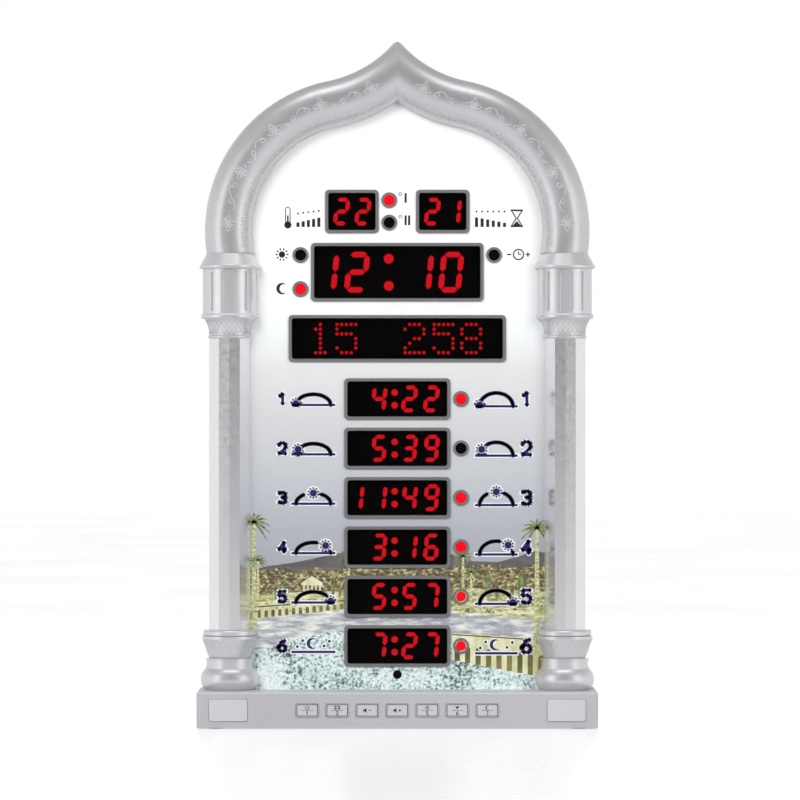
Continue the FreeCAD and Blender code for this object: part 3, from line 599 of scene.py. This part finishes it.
def lamp_places():
    """Centres of the lamps that are lit in the photograph."""
    pixels = [(389.3, 200.3), (301.4, 289.2)] + [(461.0, 398.6 + 49.6 * row) for row in (0, 2, 3, 4, 5)]
    return [from_photo(px, py) for px, py in pixels]


def nearest_ring(x, z):
    """The centre of the ring nearest to a place, from the ring node's own mesh."""
    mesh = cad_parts["indicator_rings"].data
    near = [v.co for v in mesh.vertices if abs(v.co.x - x) < 8 * MM and abs(v.co.z - z) < 8 * MM]
    return centre_of(near)


def make_lit_lamps():
    """Glowing caps over the domes of the lit lamps."""
    red = glowing("lamp_red", (0.80, 0.002, 0.010), 0.9)
    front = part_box("indicator_lamps")[0][1] - CAP_LIFT
    radius, dome = 4.1 * MM, 1.2 * MM
    ball = (radius ** 2 + dome ** 2) / (2 * dome)
    rings, sides = 5, 28
    verts, faces = [], []
    for px, pz in lamp_places():
        x, z = nearest_ring(px, pz)
        start = len(verts)
        verts.append((x, front, z))
        for ring in range(1, rings + 1):
            r = radius * ring / rings
            y = front + ball - sqrt(ball ** 2 - r ** 2)
            angles = [tau * k / sides for k in range(sides)]
            verts += [(x + r * cos(angle), y, z + r * sin(angle)) for angle in angles]
        for k in range(sides):
            nxt = (k + 1) % sides
            faces.append((start, start + 1 + k, start + 1 + nxt))
            for ring in range(rings - 1):
                a = start + 1 + ring * sides
                faces.append((a + k, a + sides + k, a + sides + nxt, a + nxt))
    mesh_piece("lit_lamps", verts, faces, red, smooth=True)


# Printed picture on the lower face, a generic garden at dusk


def layer(number):
    """Plane of a printed layer, each just over the one before."""
    return FACE_Y - number * PRINT_LIFT


def ground_line(points):
    """Closed strip under a line of photograph pixels, down to the face's foot."""
    line = [from_photo(px, py) for px, py in points]
    return line + [(line[-1][0], PLINTH_TOP), (line[0][0], PLINTH_TOP)]


def grain(scale, detail=3.0, roughness=0.5, squash=None):
    """Noise for printed, drawn out flat where squash is over 1."""
    return lambda paint: paint.noise(scale, detail, roughness, squash and paint.stretched(1, 1, squash))


def printed(name, stops, fac):
    """Printed ink whose colour follows the stops along what fac returns for the paint."""
    paint = Paint(name, stops[0][1], 0.3)
    return paint.color(paint.ramp(fac(paint), stops))


def ink(name, dark, light, scale=90.0):
    """Printed ink that is cloudy between two close colours."""
    return printed(name, [(0.3, dark), (0.7, light)], grain(scale))


def rooftops(left, right):
    """Line of roofs of uneven width and height, which sinks a little to the left."""
    x = left
    roofs = []
    while x < right:
        wide = random.uniform(3.0, 8.0)
        roof = 572 - 4 * (x - left) / (right - left) - random.uniform(0, 4.5)
        roofs += [(x, roof), (min(x + wide, right), roof)]
        x += wide
    return roofs


def meadow_grain(paint):
    """Fine flowers with slow patches of light and shade."""
    flowers = paint.math("MULTIPLY", paint.noise(430.0, 4.0, 0.7), 0.7)
    return paint.math("ADD", flowers, paint.math("MULTIPLY", paint.noise(28.0, 3.0), 0.32))


def make_ground():
    """Bands of the picture from far to near: hills, village, fields, a pale way and a flower meadow."""
    left, right = 248.5, 546.1
    hills = [
        (left, 571), (268, 566), (292, 563), (330, 555), (352, 551), (400, 548), (448, 553), (470, 561),
        (498, 562), (520, 556), (534, 551), (right, 553),
    ]
    fields = [(left, 595), (300, 592), (400, 589), (470, 588), (right, 592)]
    way = [(left, 618), (300, 609), (360, 604), (420, 607), (470, 613), (right, 621)]
    meadow = [(left, 655), (290, 640), (330, 632), (380, 634), (430, 641), (480, 656), (right, 668)]
    bands = [
        ("print_hills", hills, [(0.35, (0.10, 0.095, 0.10)), (0.65, (0.17, 0.155, 0.15))],
         grain(60.0, 4.0, squash=2.5)),
        ("print_village", rooftops(left, right),
         [(0.40, (0.07, 0.06, 0.04)), (0.50, (0.18, 0.15, 0.08)), (0.57, (0.42, 0.36, 0.16)),
          (0.66, (0.80, 0.74, 0.42))],
         grain(330.0, 4.0, 0.7, 1.6)),
        ("print_fields", fields,
         [(0.33, (0.13, 0.13, 0.05)), (0.43, (0.34, 0.34, 0.13)), (0.52, (0.62, 0.62, 0.33)),
          (0.66, (0.86, 0.86, 0.66))],
         grain(140.0, 5.0, 0.65, 3.2)),
        ("print_way", way,
         [(0.33, (0.30, 0.31, 0.36)), (0.47, (0.48, 0.49, 0.55)), (0.55, (0.68, 0.70, 0.64)),
          (0.66, (0.88, 0.90, 0.84))],
         grain(75.0, 4.0, 0.6, 4.0)),
        ("print_meadow", meadow,
         [(0.36, (0.01, 0.03, 0.02)), (0.42, (0.10, 0.17, 0.13)), (0.47, (0.45, 0.58, 0.55)),
          (0.53, (0.72, 0.84, 0.86)), (0.62, (0.94, 0.98, 0.94))],
         meadow_grain),
    ]
    for number, (name, line, stops, fac) in enumerate(bands, 1):
        shapes = Shapes(layer(number))
        shapes.polygon(ground_line(line))
        shapes.piece(name, printed(name, stops, fac), windows=True)


def arch_points(x, foot, width, rise, steps=8):
    """Outline of a round-headed opening, from its left foot round to its right."""
    half = width / 2
    spring = foot + rise - half
    turns = [pi * k / steps for k in range(steps + 1)]
    head = [(x - half * cos(turn), spring + half * sin(turn)) for turn in turns]
    return [(x - half, foot)] + head + [(x + half, foot)]


def add_wall(walls, openings, top, bottom, count, share):
    """Wall between two edges (pairs of pixels), with openings that take a share of its height."""
    pixels = (*top, *bottom)
    top_left, top_right, foot_left, foot_right = [Vector(from_photo(*pixel)) for pixel in pixels]
    walls.polygon([top_left, top_right, foot_right, foot_left])
    walls.stroke(*top_left, *top_right, 1.5 * MM)
    width = 0.5 * (top_right.x - top_left.x) / count
    for k in range(count):
        t = (k + 0.5) / count
        head, foot = top_left.lerp(top_right, t), foot_left.lerp(foot_right, t)
        openings.polygon(arch_points(foot.x, foot.y, width, share * (head.y - foot.y)))


def add_summerhouse(sign):
    """Five posts, a beam and a gable."""
    for k in range(-2, 3):
        sign.rect(3 * k - 0.6, 0, 3 * k + 0.6, 8)
    sign.rect(-8, 8, 8, 9.5)
    sign.polygon([(-8.5, 9.5), (8.5, 9.5), (0, 15)])


def make_garden_walls():
    """Two lit garden walls with arched openings, the near one to the right, and a summerhouse."""
    lit = printed(
        "print_wall", [(0.32, (0.50, 0.50, 0.22)), (0.50, (0.72, 0.72, 0.42)), (0.66, (0.88, 0.88, 0.66))],
        grain(90.0, 4.0, 0.6, 0.5),
    )
    shade = printed("print_shade", [(0.4, (0.09, 0.09, 0.03)), (0.6, (0.24, 0.22, 0.07))], grain(80.0))
    walls, openings = Shapes(layer(6)), Shapes(layer(7))
    far_top, far_foot = ((249, 607), (345, 600)), ((249, 619), (345, 609))
    near_top, near_foot = ((452, 634), (546, 640)), ((452, 660), (546, 678))
    add_wall(walls, openings, far_top, far_foot, 14, 0.62)
    add_wall(walls, openings, near_top, near_foot, 9, 0.58)
    summerhouse = from_photo(312, 596)
    add_summerhouse(Sign(walls, *summerhouse))
    walls.piece("print_walls", lit, windows=True)
    openings.piece("print_openings", shade, windows=True)


def add_palm(trunks, leaves, px, foot_px, tall):
    """Tapered trunk under a crown of eleven drooping fronds."""
    x, foot = from_photo(px, foot_px)
    top = foot + tall * PIXEL
    width = tall * 0.020 * PIXEL + 0.5 * MM
    neck = 0.55 * width
    trunks.polygon([(x - width, foot), (x + width, foot), (x + neck, top), (x - neck, top)])
    reach = (6 + tall * 0.085) * PIXEL
    for k in range(11):
        angle = pi * (-0.22 + 1.44 * k / 10)
        frond = []
        for t in (0, 0.35, 0.7, 1):
            frond.append((x + reach * t * cos(angle), top + reach * (t * sin(angle) - 0.45 * t * t)))
        for (x0, z0), (x1, z1), wide in zip(frond, frond[1:], (0.10, 0.14, 0.07)):
            leaves.stroke(x0, z0, x1, z1, wide * reach)


def add_cypress(leaves, px, foot_px, tall):
    """Slender pointed tree."""
    x, foot = from_photo(px, foot_px)
    half = tall * 0.10 * PIXEL
    side = [(half * sin(pi * t) ** 0.7, foot + tall * PIXEL * t) for t in (0.02, 0.15, 0.35, 0.6, 0.8)]
    left = [(x - wide, z) for wide, z in side]
    right = [(x + wide, z) for wide, z in reversed(side)]
    leaves.polygon(left + [(x, foot + tall * PIXEL)] + right)


def make_trees():
    """Lit palms and dark cypresses, and small shrubs along the meadow's edge."""
    bark = printed(
        "print_bark", [(0.35, (0.34, 0.36, 0.12)), (0.65, (0.78, 0.80, 0.48))], grain(260.0, squash=2.0),
    )
    leaf = printed("print_leaf", [(0.35, (0.07, 0.09, 0.03)), (0.65, (0.30, 0.36, 0.14))], grain(260.0))
    trunks, leaves = Shapes(layer(8)), Shapes(layer(9))
    palms = [(254, 640, 118), (349, 606, 52), (463, 618, 62), (537, 648, 120), (471, 612, 40), (258, 604, 44)]
    for px, foot_px, tall in palms:
        add_palm(trunks, leaves, px, foot_px, tall)
    cypresses = [
        (276, 600, 20), (284, 601, 26), (333, 597, 22), (488, 600, 30), (497, 602, 22), (521, 604, 34),
        (452, 602, 18), (512, 603, 20), (340, 598, 14),
    ]
    for px, foot_px, tall in cypresses:
        add_cypress(leaves, px, foot_px, tall)
    for _ in range(46):
        x, z = from_photo(random.uniform(252, 544), random.uniform(600, 612))
        leaves.disc(x, z, random.uniform(0.5, 1.3) * MM, 8, 0.7)
    trunks.piece("print_trunks", bark, windows=True)
    leaves.piece("print_leaves", leaf, windows=True)


# Pictograms


def add_sun(shapes, sun, radius, ray_start, ray_end, ray_width, turn=0.0, risen=True):
    """Disc with ten rays about a place, only the upper rays unless it has risen."""
    shapes.disc(*sun, radius)
    for k in range(10):
        angle = tau * k / 10 + turn
        if risen or sin(angle) >= 0:
            ray = Vector((cos(angle), sin(angle)))
            shapes.stroke(*(sun + ray_start * ray), *(sun + ray_end * ray), ray_width)


def moon_sign(shapes, x, z, radius):
    """Crescent between two arcs, open to the right."""
    steps = 24
    angles = [radians(50 + 260 * k / steps) for k in range(steps + 1)]
    outer = [(x + radius * cos(a), z + radius * sin(a)) for a in angles]
    inner = [(x + radius * (0.35 + 0.78 * cos(a)), z + 0.78 * radius * sin(a)) for a in angles]
    for k in range(steps):
        shapes.polygon([outer[k], outer[k + 1], inner[k + 1], inner[k]])


NUMERALS = {
    "1": [[(0.1, 0.75), (0.55, 1), (0.55, 0)]],
    "2": [[(0, 0.75), (0.2, 1), (0.8, 1), (1, 0.75), (0.9, 0.5), (0, 0), (1, 0)]],
    "3": [[(0, 0.9), (0.3, 1), (0.8, 1), (1, 0.75), (0.75, 0.53), (0.4, 0.53)],
          [(0.75, 0.53), (1, 0.27), (0.8, 0), (0.3, 0), (0, 0.1)]],
    "4": [[(0.75, 0), (0.75, 1), (0, 0.28), (1, 0.28)]],
    "5": [[(0.95, 1), (0.1, 1), (0.05, 0.55), (0.7, 0.6), (1, 0.35), (0.8, 0), (0.3, 0), (0, 0.1)]],
    "6": [
        [(0.9, 1), (0.4, 0.9), (0, 0.4), (0.15, 0), (0.8, 0), (1, 0.28), (0.8, 0.55), (0.2, 0.55), (0, 0.35)],
    ],
    "7": [[(0, 1), (1, 1), (0.4, 0)]],
}


def numeral(shapes, digit, x, z, height, stroke):
    """Plain number centred on x and z."""
    width, rise = 0.52 * height, height - stroke
    for path in NUMERALS[digit]:
        shapes.line([(x + (u - 0.5) * width, z + (v - 0.5) * rise) for u, v in path], stroke)


SUN_ANGLES = {1: 180, 2: 152, 3: 90, 4: 45, 5: 0}
NIGHT_ROW = 6
SUN_RADIUS = 2.7 * MM
RAY_START, RAY_END = 3.0 * MM, 4.6 * MM
SUN_CLEAR = 5.6 * MM


def night_sign(shapes, x, foot, grow):
    moon_sign(shapes, x - 0.8 * MM, foot + 6.4 * MM, 4.2 * MM + grow)
    for offset, height in ((-12, 4), (-8, 8.5), (8, 4.5), (12, 8)):
        shapes.disc(x + offset * MM, foot + height * MM, 1.1 * MM + grow, 10)


def day_sign(shapes, row, x, z, half, rise, grow):
    """Sun's way over a bar of horizon with the sun at its place for the row, or a moon and stars."""
    foot = z - rise / 2
    reach, thick = half + 3.5 * MM + grow, 0.9 * MM + grow
    shapes.rect(x - reach, foot - thick, x + reach, foot + thick)
    if row == NIGHT_ROW:
        night_sign(shapes, x, foot, grow)
        return
    angle = radians(SUN_ANGLES[row])
    sun = Vector((x + half * cos(angle), foot + rise * sin(angle)))
    way = [(x + half * cos(pi * k / 36), foot + rise * sin(pi * k / 36)) for k in range(37)]
    for start, end in zip(way, way[1:]):
        if (Vector(start) - sun).length > SUN_CLEAR:
            shapes.line([start, end], 1.5 * MM + 2 * grow)
    on_horizon = row in (1, 5)
    if on_horizon:
        sun.y += 1.0 * MM
    width = 1.0 * MM + 2 * grow
    add_sun(shapes, sun, SUN_RADIUS + grow, RAY_START, RAY_END + grow, width, radians(18), not on_horizon)


ROW_SIGN_LEFT, ROW_SIGN_RIGHT = from_photo(278, 0)[0], from_photo(531, 0)[0]


def make_row_signs():
    """A number and a day sign on each side of every row, navy with a white edge."""
    navy = ink("print_navy", (0.010, 0.006, 0.085), (0.016, 0.010, 0.12))
    white = ink("print_white", (0.88, 0.88, 0.90), (0.95, 0.95, 0.97))
    for name, number, grow, paint in (("row_sign_edges", 10, 0.8 * MM, white), ("row_signs", 11, 0.0, navy)):
        shapes = Shapes(layer(number))
        edge = 2 * grow
        for row in range(1, 7):
            z = middle_of(f"prayer_{row}_display")[1]
            low = z - 0.5 * MM
            numeral(shapes, str(row), ROW_SIGN_LEFT + 3.2 * MM, z, 10 * MM + edge, 2.2 * MM + edge)
            day_sign(shapes, row, ROW_SIGN_LEFT + 26.5 * MM, low, 13 * MM, 8.0 * MM, grow)
            numeral(shapes, str(row), ROW_SIGN_RIGHT - 3.4 * MM, z, 12 * MM + edge, 2.4 * MM + edge)
            day_sign(shapes, row, ROW_SIGN_RIGHT - 26 * MM, low, 12.5 * MM, 10.0 * MM, grow)
        shapes.piece(name, paint)


def thermometer(sign):
    sign.disc(0, -5.6, 2.7)
    for side in (-1, 1):
        sign.rect(side * 1.7 - 0.35, -4.5, side * 1.7 + 0.35, 6)
    sign.ring(0, 6, 1.35, 2.05, 0, pi, 12)
    sign.rect(-0.6, -4.5, 0.6, 1.5)


def hourglass(sign):
    for side in (-1, 1):
        low, high = sorted((side * 6.6, side * 5.3))
        sign.rect(-4.6, low, 4.6, high)
        for lean in (-1, 1):
            sign.stroke(lean * 3.7, side * 5.3, lean * 0.4, 0, 0.9)
    sign.polygon([(-2.9, -5.3), (2.9, -5.3), (0, -2.0)])


BAR_FOOT_PY = 227


def level_bars(shapes, first_px, step_px, dot_py, heights, dot_rise):
    """Row of bars with a dot over each."""
    for k, height in enumerate(heights):
        px = first_px + step_px * k
        Sign(shapes, *from_photo(px, BAR_FOOT_PY)).rect(-1.15, 0, 1.15, height)
        Sign(shapes, *from_photo(px, dot_py)).disc(0, dot_rise * k, 0.75, 12)


def degree_mark(sign, bars):
    sign.ring(0, 0, 0.8, 1.35, sides=16)
    for k in range(bars):
        sign.rect(3.2 + 2.6 * k, -6.5, 4.8 + 2.6 * k, 0.8)


def dial(sign):
    """Clock face between a minus and a plus."""
    sign.ring(0, 0, 3.3, 4.3)
    sign.stroke(0, 0, 0, 2.6, 0.8)
    sign.stroke(0, 0, 2.0, 0, 0.8)
    for side in (-1, 1):
        sign.rect(side * 7.0 - 1.6, -0.5, side * 7.0 + 1.6, 0.5)
    sign.rect(6.5, -1.6, 7.5, 1.6)


TOP_SIGN_PIXELS = {
    "thermometer": (287.8, 217.5), "hourglass": (516.8, 218.3), "upper_degree": (400.3, 194.0),
    "lower_degree": (400.3, 216.5), "sun": (282.0, 254.5), "moon": (282.0, 288.6), "dial": (518.5, 254.5),
}


def make_top_signs():
    """Black signs by the upper windows."""
    black = Paint("print_black", (0.012, 0.012, 0.014), 0.3)
    black.color(black.ramp(black.noise(90.0), [(0.3, (0.010, 0.010, 0.012)), (0.7, (0.02, 0.02, 0.022))]))
    shapes = Shapes(layer(2))
    places = {name: from_photo(px, py) for name, (px, py) in TOP_SIGN_PIXELS.items()}
    thermometer(Sign(shapes, *places["thermometer"]))
    level_bars(shapes, 298, 5.2, 213.5, [3.4 + 0.9 * k for k in range(5)], 0.5)
    hourglass(Sign(shapes, *places["hourglass"]))
    level_bars(shapes, 476.5, 5.6, 211.5, [7.2 - 0.8 * k for k in range(6)], 0)
    degree_mark(Sign(shapes, *places["upper_degree"]), 1)
    degree_mark(Sign(shapes, *places["lower_degree"]), 2)
    add_sun(shapes, Vector(places["sun"]), 2.4 * MM, 3.24 * MM, 4.8 * MM, 1.008 * MM)
    moon_sign(shapes, *places["moon"], 4.3 * MM)
    dial(Sign(shapes, *places["dial"]))
    shapes.piece("top_signs", black)


def key_mark(shapes, number, x, z):
    """Pictogram of a key: turn, grid, volume down and up, ring, down, moon."""
    sign = Sign(shapes, x, z)
    if number == 1:
        sign.ring(0, 0, 1.0, 1.5, radians(60), radians(360), 16)
        sign.polygon([(0.7, 0), (2.0, 0), (1.3, 1.1)])
    elif number == 2:
        for dx in (-1.3, 1.3):
            for dz in (-0.8, 0.8):
                sign.rect(dx - 0.9, dz - 0.5, dx + 0.9, dz + 0.5)
    elif number in (3, 4):
        sign.polygon([(-3.0, -0.7), (-2.0, -0.7), (-0.6, -1.8), (-0.6, 1.8), (-2.0, 0.7), (-3.0, 0.7)])
        sign.rect(0.8, -0.28, 3.0, 0.28)
        if number == 4:
            sign.rect(1.62, -1.1, 2.18, 1.1)
    elif number == 5:
        sign.ring(0, 0, 1.0, 1.45, sides=16)
        sign.disc(0, 0, 0.5, 12)
    elif number == 6:
        sign.polygon([(-1.6, 0.9), (0, -1.2), (1.6, 0.9)])
    else:
        moon_sign(shapes, x, z, 1.5 * MM)


def key_outline(shapes, x0, z0, x1, z1, width):
    """Painted shade: dark rectangular line of a width just inside four edges, for the shadow at the edges."""
    for edge_z in (z0, z1 - width):
        shapes.rect(x0, edge_z, x1, edge_z + width)
    for edge_x in (x0, x1 - width):
        shapes.rect(edge_x, z0 + width, edge_x + width, z1 - width)


def make_key_signs():
    """Dark outline of painted edge shade, then a pictogram and plain number on each key, moving with it."""
    # Ink of the printed signs, also the colour of the painted shade along the key's edges
    dark = ink("key_ink_and_edge_shade", (0.012, 0.012, 0.016), (0.03, 0.03, 0.04), 200.0)
    inset = 0.5 * MM
    for number in range(1, 8):
        node = f"key_{number}"
        front_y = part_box(node)[0][1]
        front = [v.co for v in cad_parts[node].data.vertices if v.co.y < front_y + 0.05 * MM]
        x0, z0, x1, z1 = extent(front)
        x, z = centre_of(front)
        shapes = Shapes(front_y - 0.5 * PRINT_LIFT)
        # Painted shade: the dark line just inside the key's edges stands for the shadow there
        key_outline(shapes, x0 + inset, z0 + inset, x1 - inset, z1 - inset, 0.55 * MM)
        alone = number in (3, 4)
        key_mark(shapes, number, x, z + (0 if alone else 2.0 * MM))
        if not alone:
            Sign(shapes, x, z).rect(-4.2, -0.15, 4.2, 0.15)
            numeral(shapes, str(number), x, z - 2.1 * MM, 2.9 * MM, 0.5 * MM)
        shapes.piece(f"key_sign_{number}", dark, body=f"body_{node}", slot="key_silver")


# Relief on the moulding


ARCH_CENTRE = Vector((ARCH_CENTRE_X, 0, ARCH_FOOT + SPRING))
ARCH_RADIUS = ARCH_HALF_SPAN - ARCH_CENTRE_X
OGEE_CENTRE = ARCH_CENTRE + Vector((sin(TURN), 0, cos(TURN))) * (ARCH_RADIUS + OGEE_RADIUS)
FOOT_ANGLE = -asin(SPRING / ARCH_RADIUS)
LOWER_RUN = ARCH_RADIUS * (pi / 2 - TURN - FOOT_ANGLE)
UPPER_RUN = OGEE_RADIUS * (asin(OGEE_CENTRE.x / OGEE_RADIUS) - TURN)
CREST_HEIGHT = MOULDING_DEPTH - MOULDING_RIM
CREST_RADIUS = (MOULDING_HALF ** 2 + CREST_HEIGHT ** 2) / (2 * CREST_HEIGHT)
FIRST_ROSETTE = 22 * MM
ROSETTE_CLEAR = 8 * MM
LATTICE_INNER, LATTICE_OUTER = -15.2 * MM, -9.6 * MM
LATTICE_STEP = 2.7 * MM
STUD_LINES = (10.6 * MM, 12.6 * MM, 14.6 * MM)
STUD_STEP = 2.6 * MM


def on_arch(side, run, across, lift=0.0):
    """Point on the moulding's skin: run along its middle line from the collar, across it outwards."""
    if run < LOWER_RUN:
        angle = FOOT_ANGLE + run / ARCH_RADIUS
        outward = Vector((cos(angle), 0, sin(angle)))
        middle = ARCH_CENTRE + outward * ARCH_RADIUS
    else:
        angle = TURN + (run - LOWER_RUN) / OGEE_RADIUS
        inward = Vector((-sin(angle), 0, -cos(angle)))
        middle = OGEE_CENTRE + inward * OGEE_RADIUS
        outward = -inward
    centre_y = FACE_Y - MOULDING_DEPTH + CREST_RADIUS
    tilt = asin(max(-1.0, min(1.0, across / CREST_RADIUS)))
    radius = CREST_RADIUS + lift
    point = middle + outward * radius * sin(tilt)
    return Vector((side * point.x, centre_y - radius * cos(tilt), point.z))


def tube_piece(name, paths, radius, paint):
    """Thin raised lines, one poly spline for each path of points."""
    curve = bpy.data.curves.new(name, "CURVE")
    curve.dimensions = "3D"
    curve.bevel_depth = radius
    curve.bevel_resolution = 1
    curve.materials.append(paint.material)
    for path in paths:
        spline = curve.splines.new("POLY")
        spline.points.add(len(path) - 1)
        for point, place in zip(spline.points, path):
            point.co = (*place, 1.0)
    piece = add_object(name, curve)
    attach(piece, "clock")


def scroll_path(side, start, length, turn_side):
    """Tendril that ends in a curl, drawn on the moulding."""
    points = []
    for k in range(17):
        t = k / 16
        across = turn_side * 4.2 * MM * sin(t * pi) * (1 - 0.3 * t)
        points.append(on_arch(side, start + length * t, across, RELIEF_SINK))
    for k in range(1, 15):
        angle = 2.1 * pi * k / 14
        r = 2.6 * MM * (1 - 0.7 * k / 14)
        run = start + length * 0.80 + r * cos(angle)
        points.append(on_arch(side, run, turn_side * (1.0 * MM - r * sin(angle)), RELIEF_SINK))
    return points


def petal_path(side, run, across, angle, length, width):
    """Almond petal that starts at a place on the moulding and points along an angle."""
    points = []
    for k in range(17):
        t = tau * k / 16
        along = length * (0.5 - 0.5 * cos(t))
        out = width * sin(t)
        petal_run = run + along * cos(angle) - out * sin(angle)
        petal_across = across + along * sin(angle) + out * cos(angle)
        points.append(on_arch(side, petal_run, petal_across, RELIEF_SINK))
    return points


def rosette_paths(side, run, size):
    """Eight-petalled flower with four long and four short petals."""
    paths = []
    for k in range(8):
        length = size if k % 2 == 0 else 0.62 * size
        paths.append(petal_path(side, run, 0.0, pi * k / 4, length, 0.20 * size))
    return paths


def band_path(side, inner, outer, step, phase, end):
    """Zigzag along the moulding between two distances from its middle line."""
    points = []
    parts = 5
    run, index = 3 * MM, phase
    while run < end:
        start, stop = (inner, outer) if index % 2 else (outer, inner)
        for part in range(parts):
            share = part / parts
            points.append(on_arch(side, run + share * step, start + share * (stop - start), RELIEF_SINK / 2))
        run += step
        index += 1
    return points


def make_studs(relief):
    """Rows of small pyramids on the outer slope that shrink away from the feet."""
    verts, faces = [], []
    for side in (-1, 1):
        for row in range(22):
            for line, across in enumerate(STUD_LINES):
                run = 3 * MM + STUD_STEP * (row + 0.5 * (line == 1))
                half = 0.9 * MM * (1 - row / 30)
                start = len(verts)
                for along, out in ((-half, 0), (0, -half), (half, 0), (0, half)):
                    verts.append(on_arch(side, run + along, across + out, -0.02 * MM))
                verts.append(on_arch(side, run, across, 0.35 * half))
                faces += [(start + a, start + (a + 1) % 4, start + 4) for a in range(4)]
    mesh_piece("arch_studs", verts, faces, relief)


def make_arch_relief():
    """Rosettes joined by tendrils on the crest, a lattice near the inner edge and studs at the feet."""
    relief = silver_paint("relief_silver", (0.70, 0.70, 0.72), 0.30, 0.6)
    total = LOWER_RUN + UPPER_RUN
    paths, lattice = [], []
    spacing = total / 5.15
    room = spacing / 2 - ROSETTE_CLEAR
    for side in (-1, 1):
        for k in range(5):
            run = FIRST_ROSETTE + k * spacing
            if run < total - ROSETTE_CLEAR:
                paths += rosette_paths(side, run, 6.0 * MM)
            for part in (0, 1):
                start = run + ROSETTE_CLEAR + part * room
                if start + spacing / 2 < total:
                    paths.append(scroll_path(side, start, room - MM, 1 if part else -1))
        for phase in (0, 1):
            end = total - 14 * MM
            lattice.append(band_path(side, LATTICE_INNER, LATTICE_OUTER, LATTICE_STEP, phase, end))
    tube_piece("arch_scrolls", paths, 0.42 * MM, relief)
    tube_piece("arch_lattice", lattice, 0.36 * MM, relief)
    make_studs(relief)


# Ornament on the turned pieces


def on_turning(side, angle, radius, z):
    """Point at an angle from the front on a turned piece's skin."""
    return Vector((side * COLUMN_X + radius * sin(angle), FACE_Y - radius * cos(angle), z))


FILLET_PITCH = radians(13)
FILLET_END = radians(82)


def fillet_path(side, lean, k, low, high, r_low, r_high, hollow):
    """Leaning fillet up a flared band, left out where it comes near the flat back."""
    path = []
    for step in range(13):
        t = step / 12
        angle = FILLET_PITCH * (k + 2 * lean * (t - 0.5))
        if abs(angle) <= FILLET_END:
            radius = r_low + (r_high - r_low) * t - hollow * sin(pi * t)
            path.append(on_turning(side, angle, radius, low + (high - low) * t))
    return path


def make_turning_relief():
    """Crossed fillets on the flared blocks of the bases and on the bells of the capitals."""
    relief = silver_paint("ornament_silver", (0.58, 0.58, 0.60), 0.36, 0.6)
    capital_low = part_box("left_capital")[0][2]
    bands = [
        (PLINTH_TOP + 24.6 * MM, PLINTH_TOP + 37.6 * MM, 15.8 * MM, 20.6 * MM, 0.0),
        (capital_low + 3.4 * MM, capital_low + 13.9 * MM, 15.7 * MM, 18.7 * MM, 0.9 * MM),
    ]
    paths = []
    for side in (-1, 1):
        for band in bands:
            for lean in (-1, 1):
                paths += [fillet_path(side, lean, k, *band) for k in range(-6, 7)]
    paths = [path for path in paths if len(path) > 2]
    tube_piece("turning_relief", paths, 0.22 * MM, relief)


# Painted shade in the screw recesses on the back


def make_screw_crosses():
    """Painted shade: flat dark crosses on the rear screw heads, for the shade in their cross recesses."""
    # Painted shade: near-black colour for the shaded cross recesses of the screw heads
    dark = Paint("recess_painted_shade", (0.05, 0.05, 0.05), 0.6)
    dark.color(dark.ramp(dark.noise(400.0), [(0.3, (0.03, 0.03, 0.03)), (0.7, (0.07, 0.07, 0.07))]))
    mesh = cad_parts["housing_screws"].data
    rear = max(v.co.y for v in mesh.vertices)
    heads = {}
    for vertex in mesh.vertices:
        if abs(vertex.co.y - rear) < 0.05 * MM:
            heads.setdefault((round(vertex.co.x, 2), round(vertex.co.z, 2)), []).append(vertex.co)
    verts, faces = [], []
    for points in heads.values():
        x, z = centre_of(points)
        for lift, wide, tall in ((1, 1.7, 0.35), (2, 0.35, 1.7)):
            start = len(verts)
            for dx, dz in ((-1, -1), (-1, 1), (1, 1), (1, -1)):
                verts.append((x + dx * wide * MM, rear + lift * PRINT_LIFT, z + dz * tall * MM))
            faces.append((start, start + 1, start + 2, start + 3))
    mesh_piece("screw_crosses", verts, faces, dark)


make_studio()
paint_nodes()
make_digits()
make_lit_lamps()
make_ground()
make_garden_walls()
make_trees()
make_row_signs()
make_top_signs()
make_key_signs()
make_arch_relief()
make_turning_relief()
make_screw_crosses()
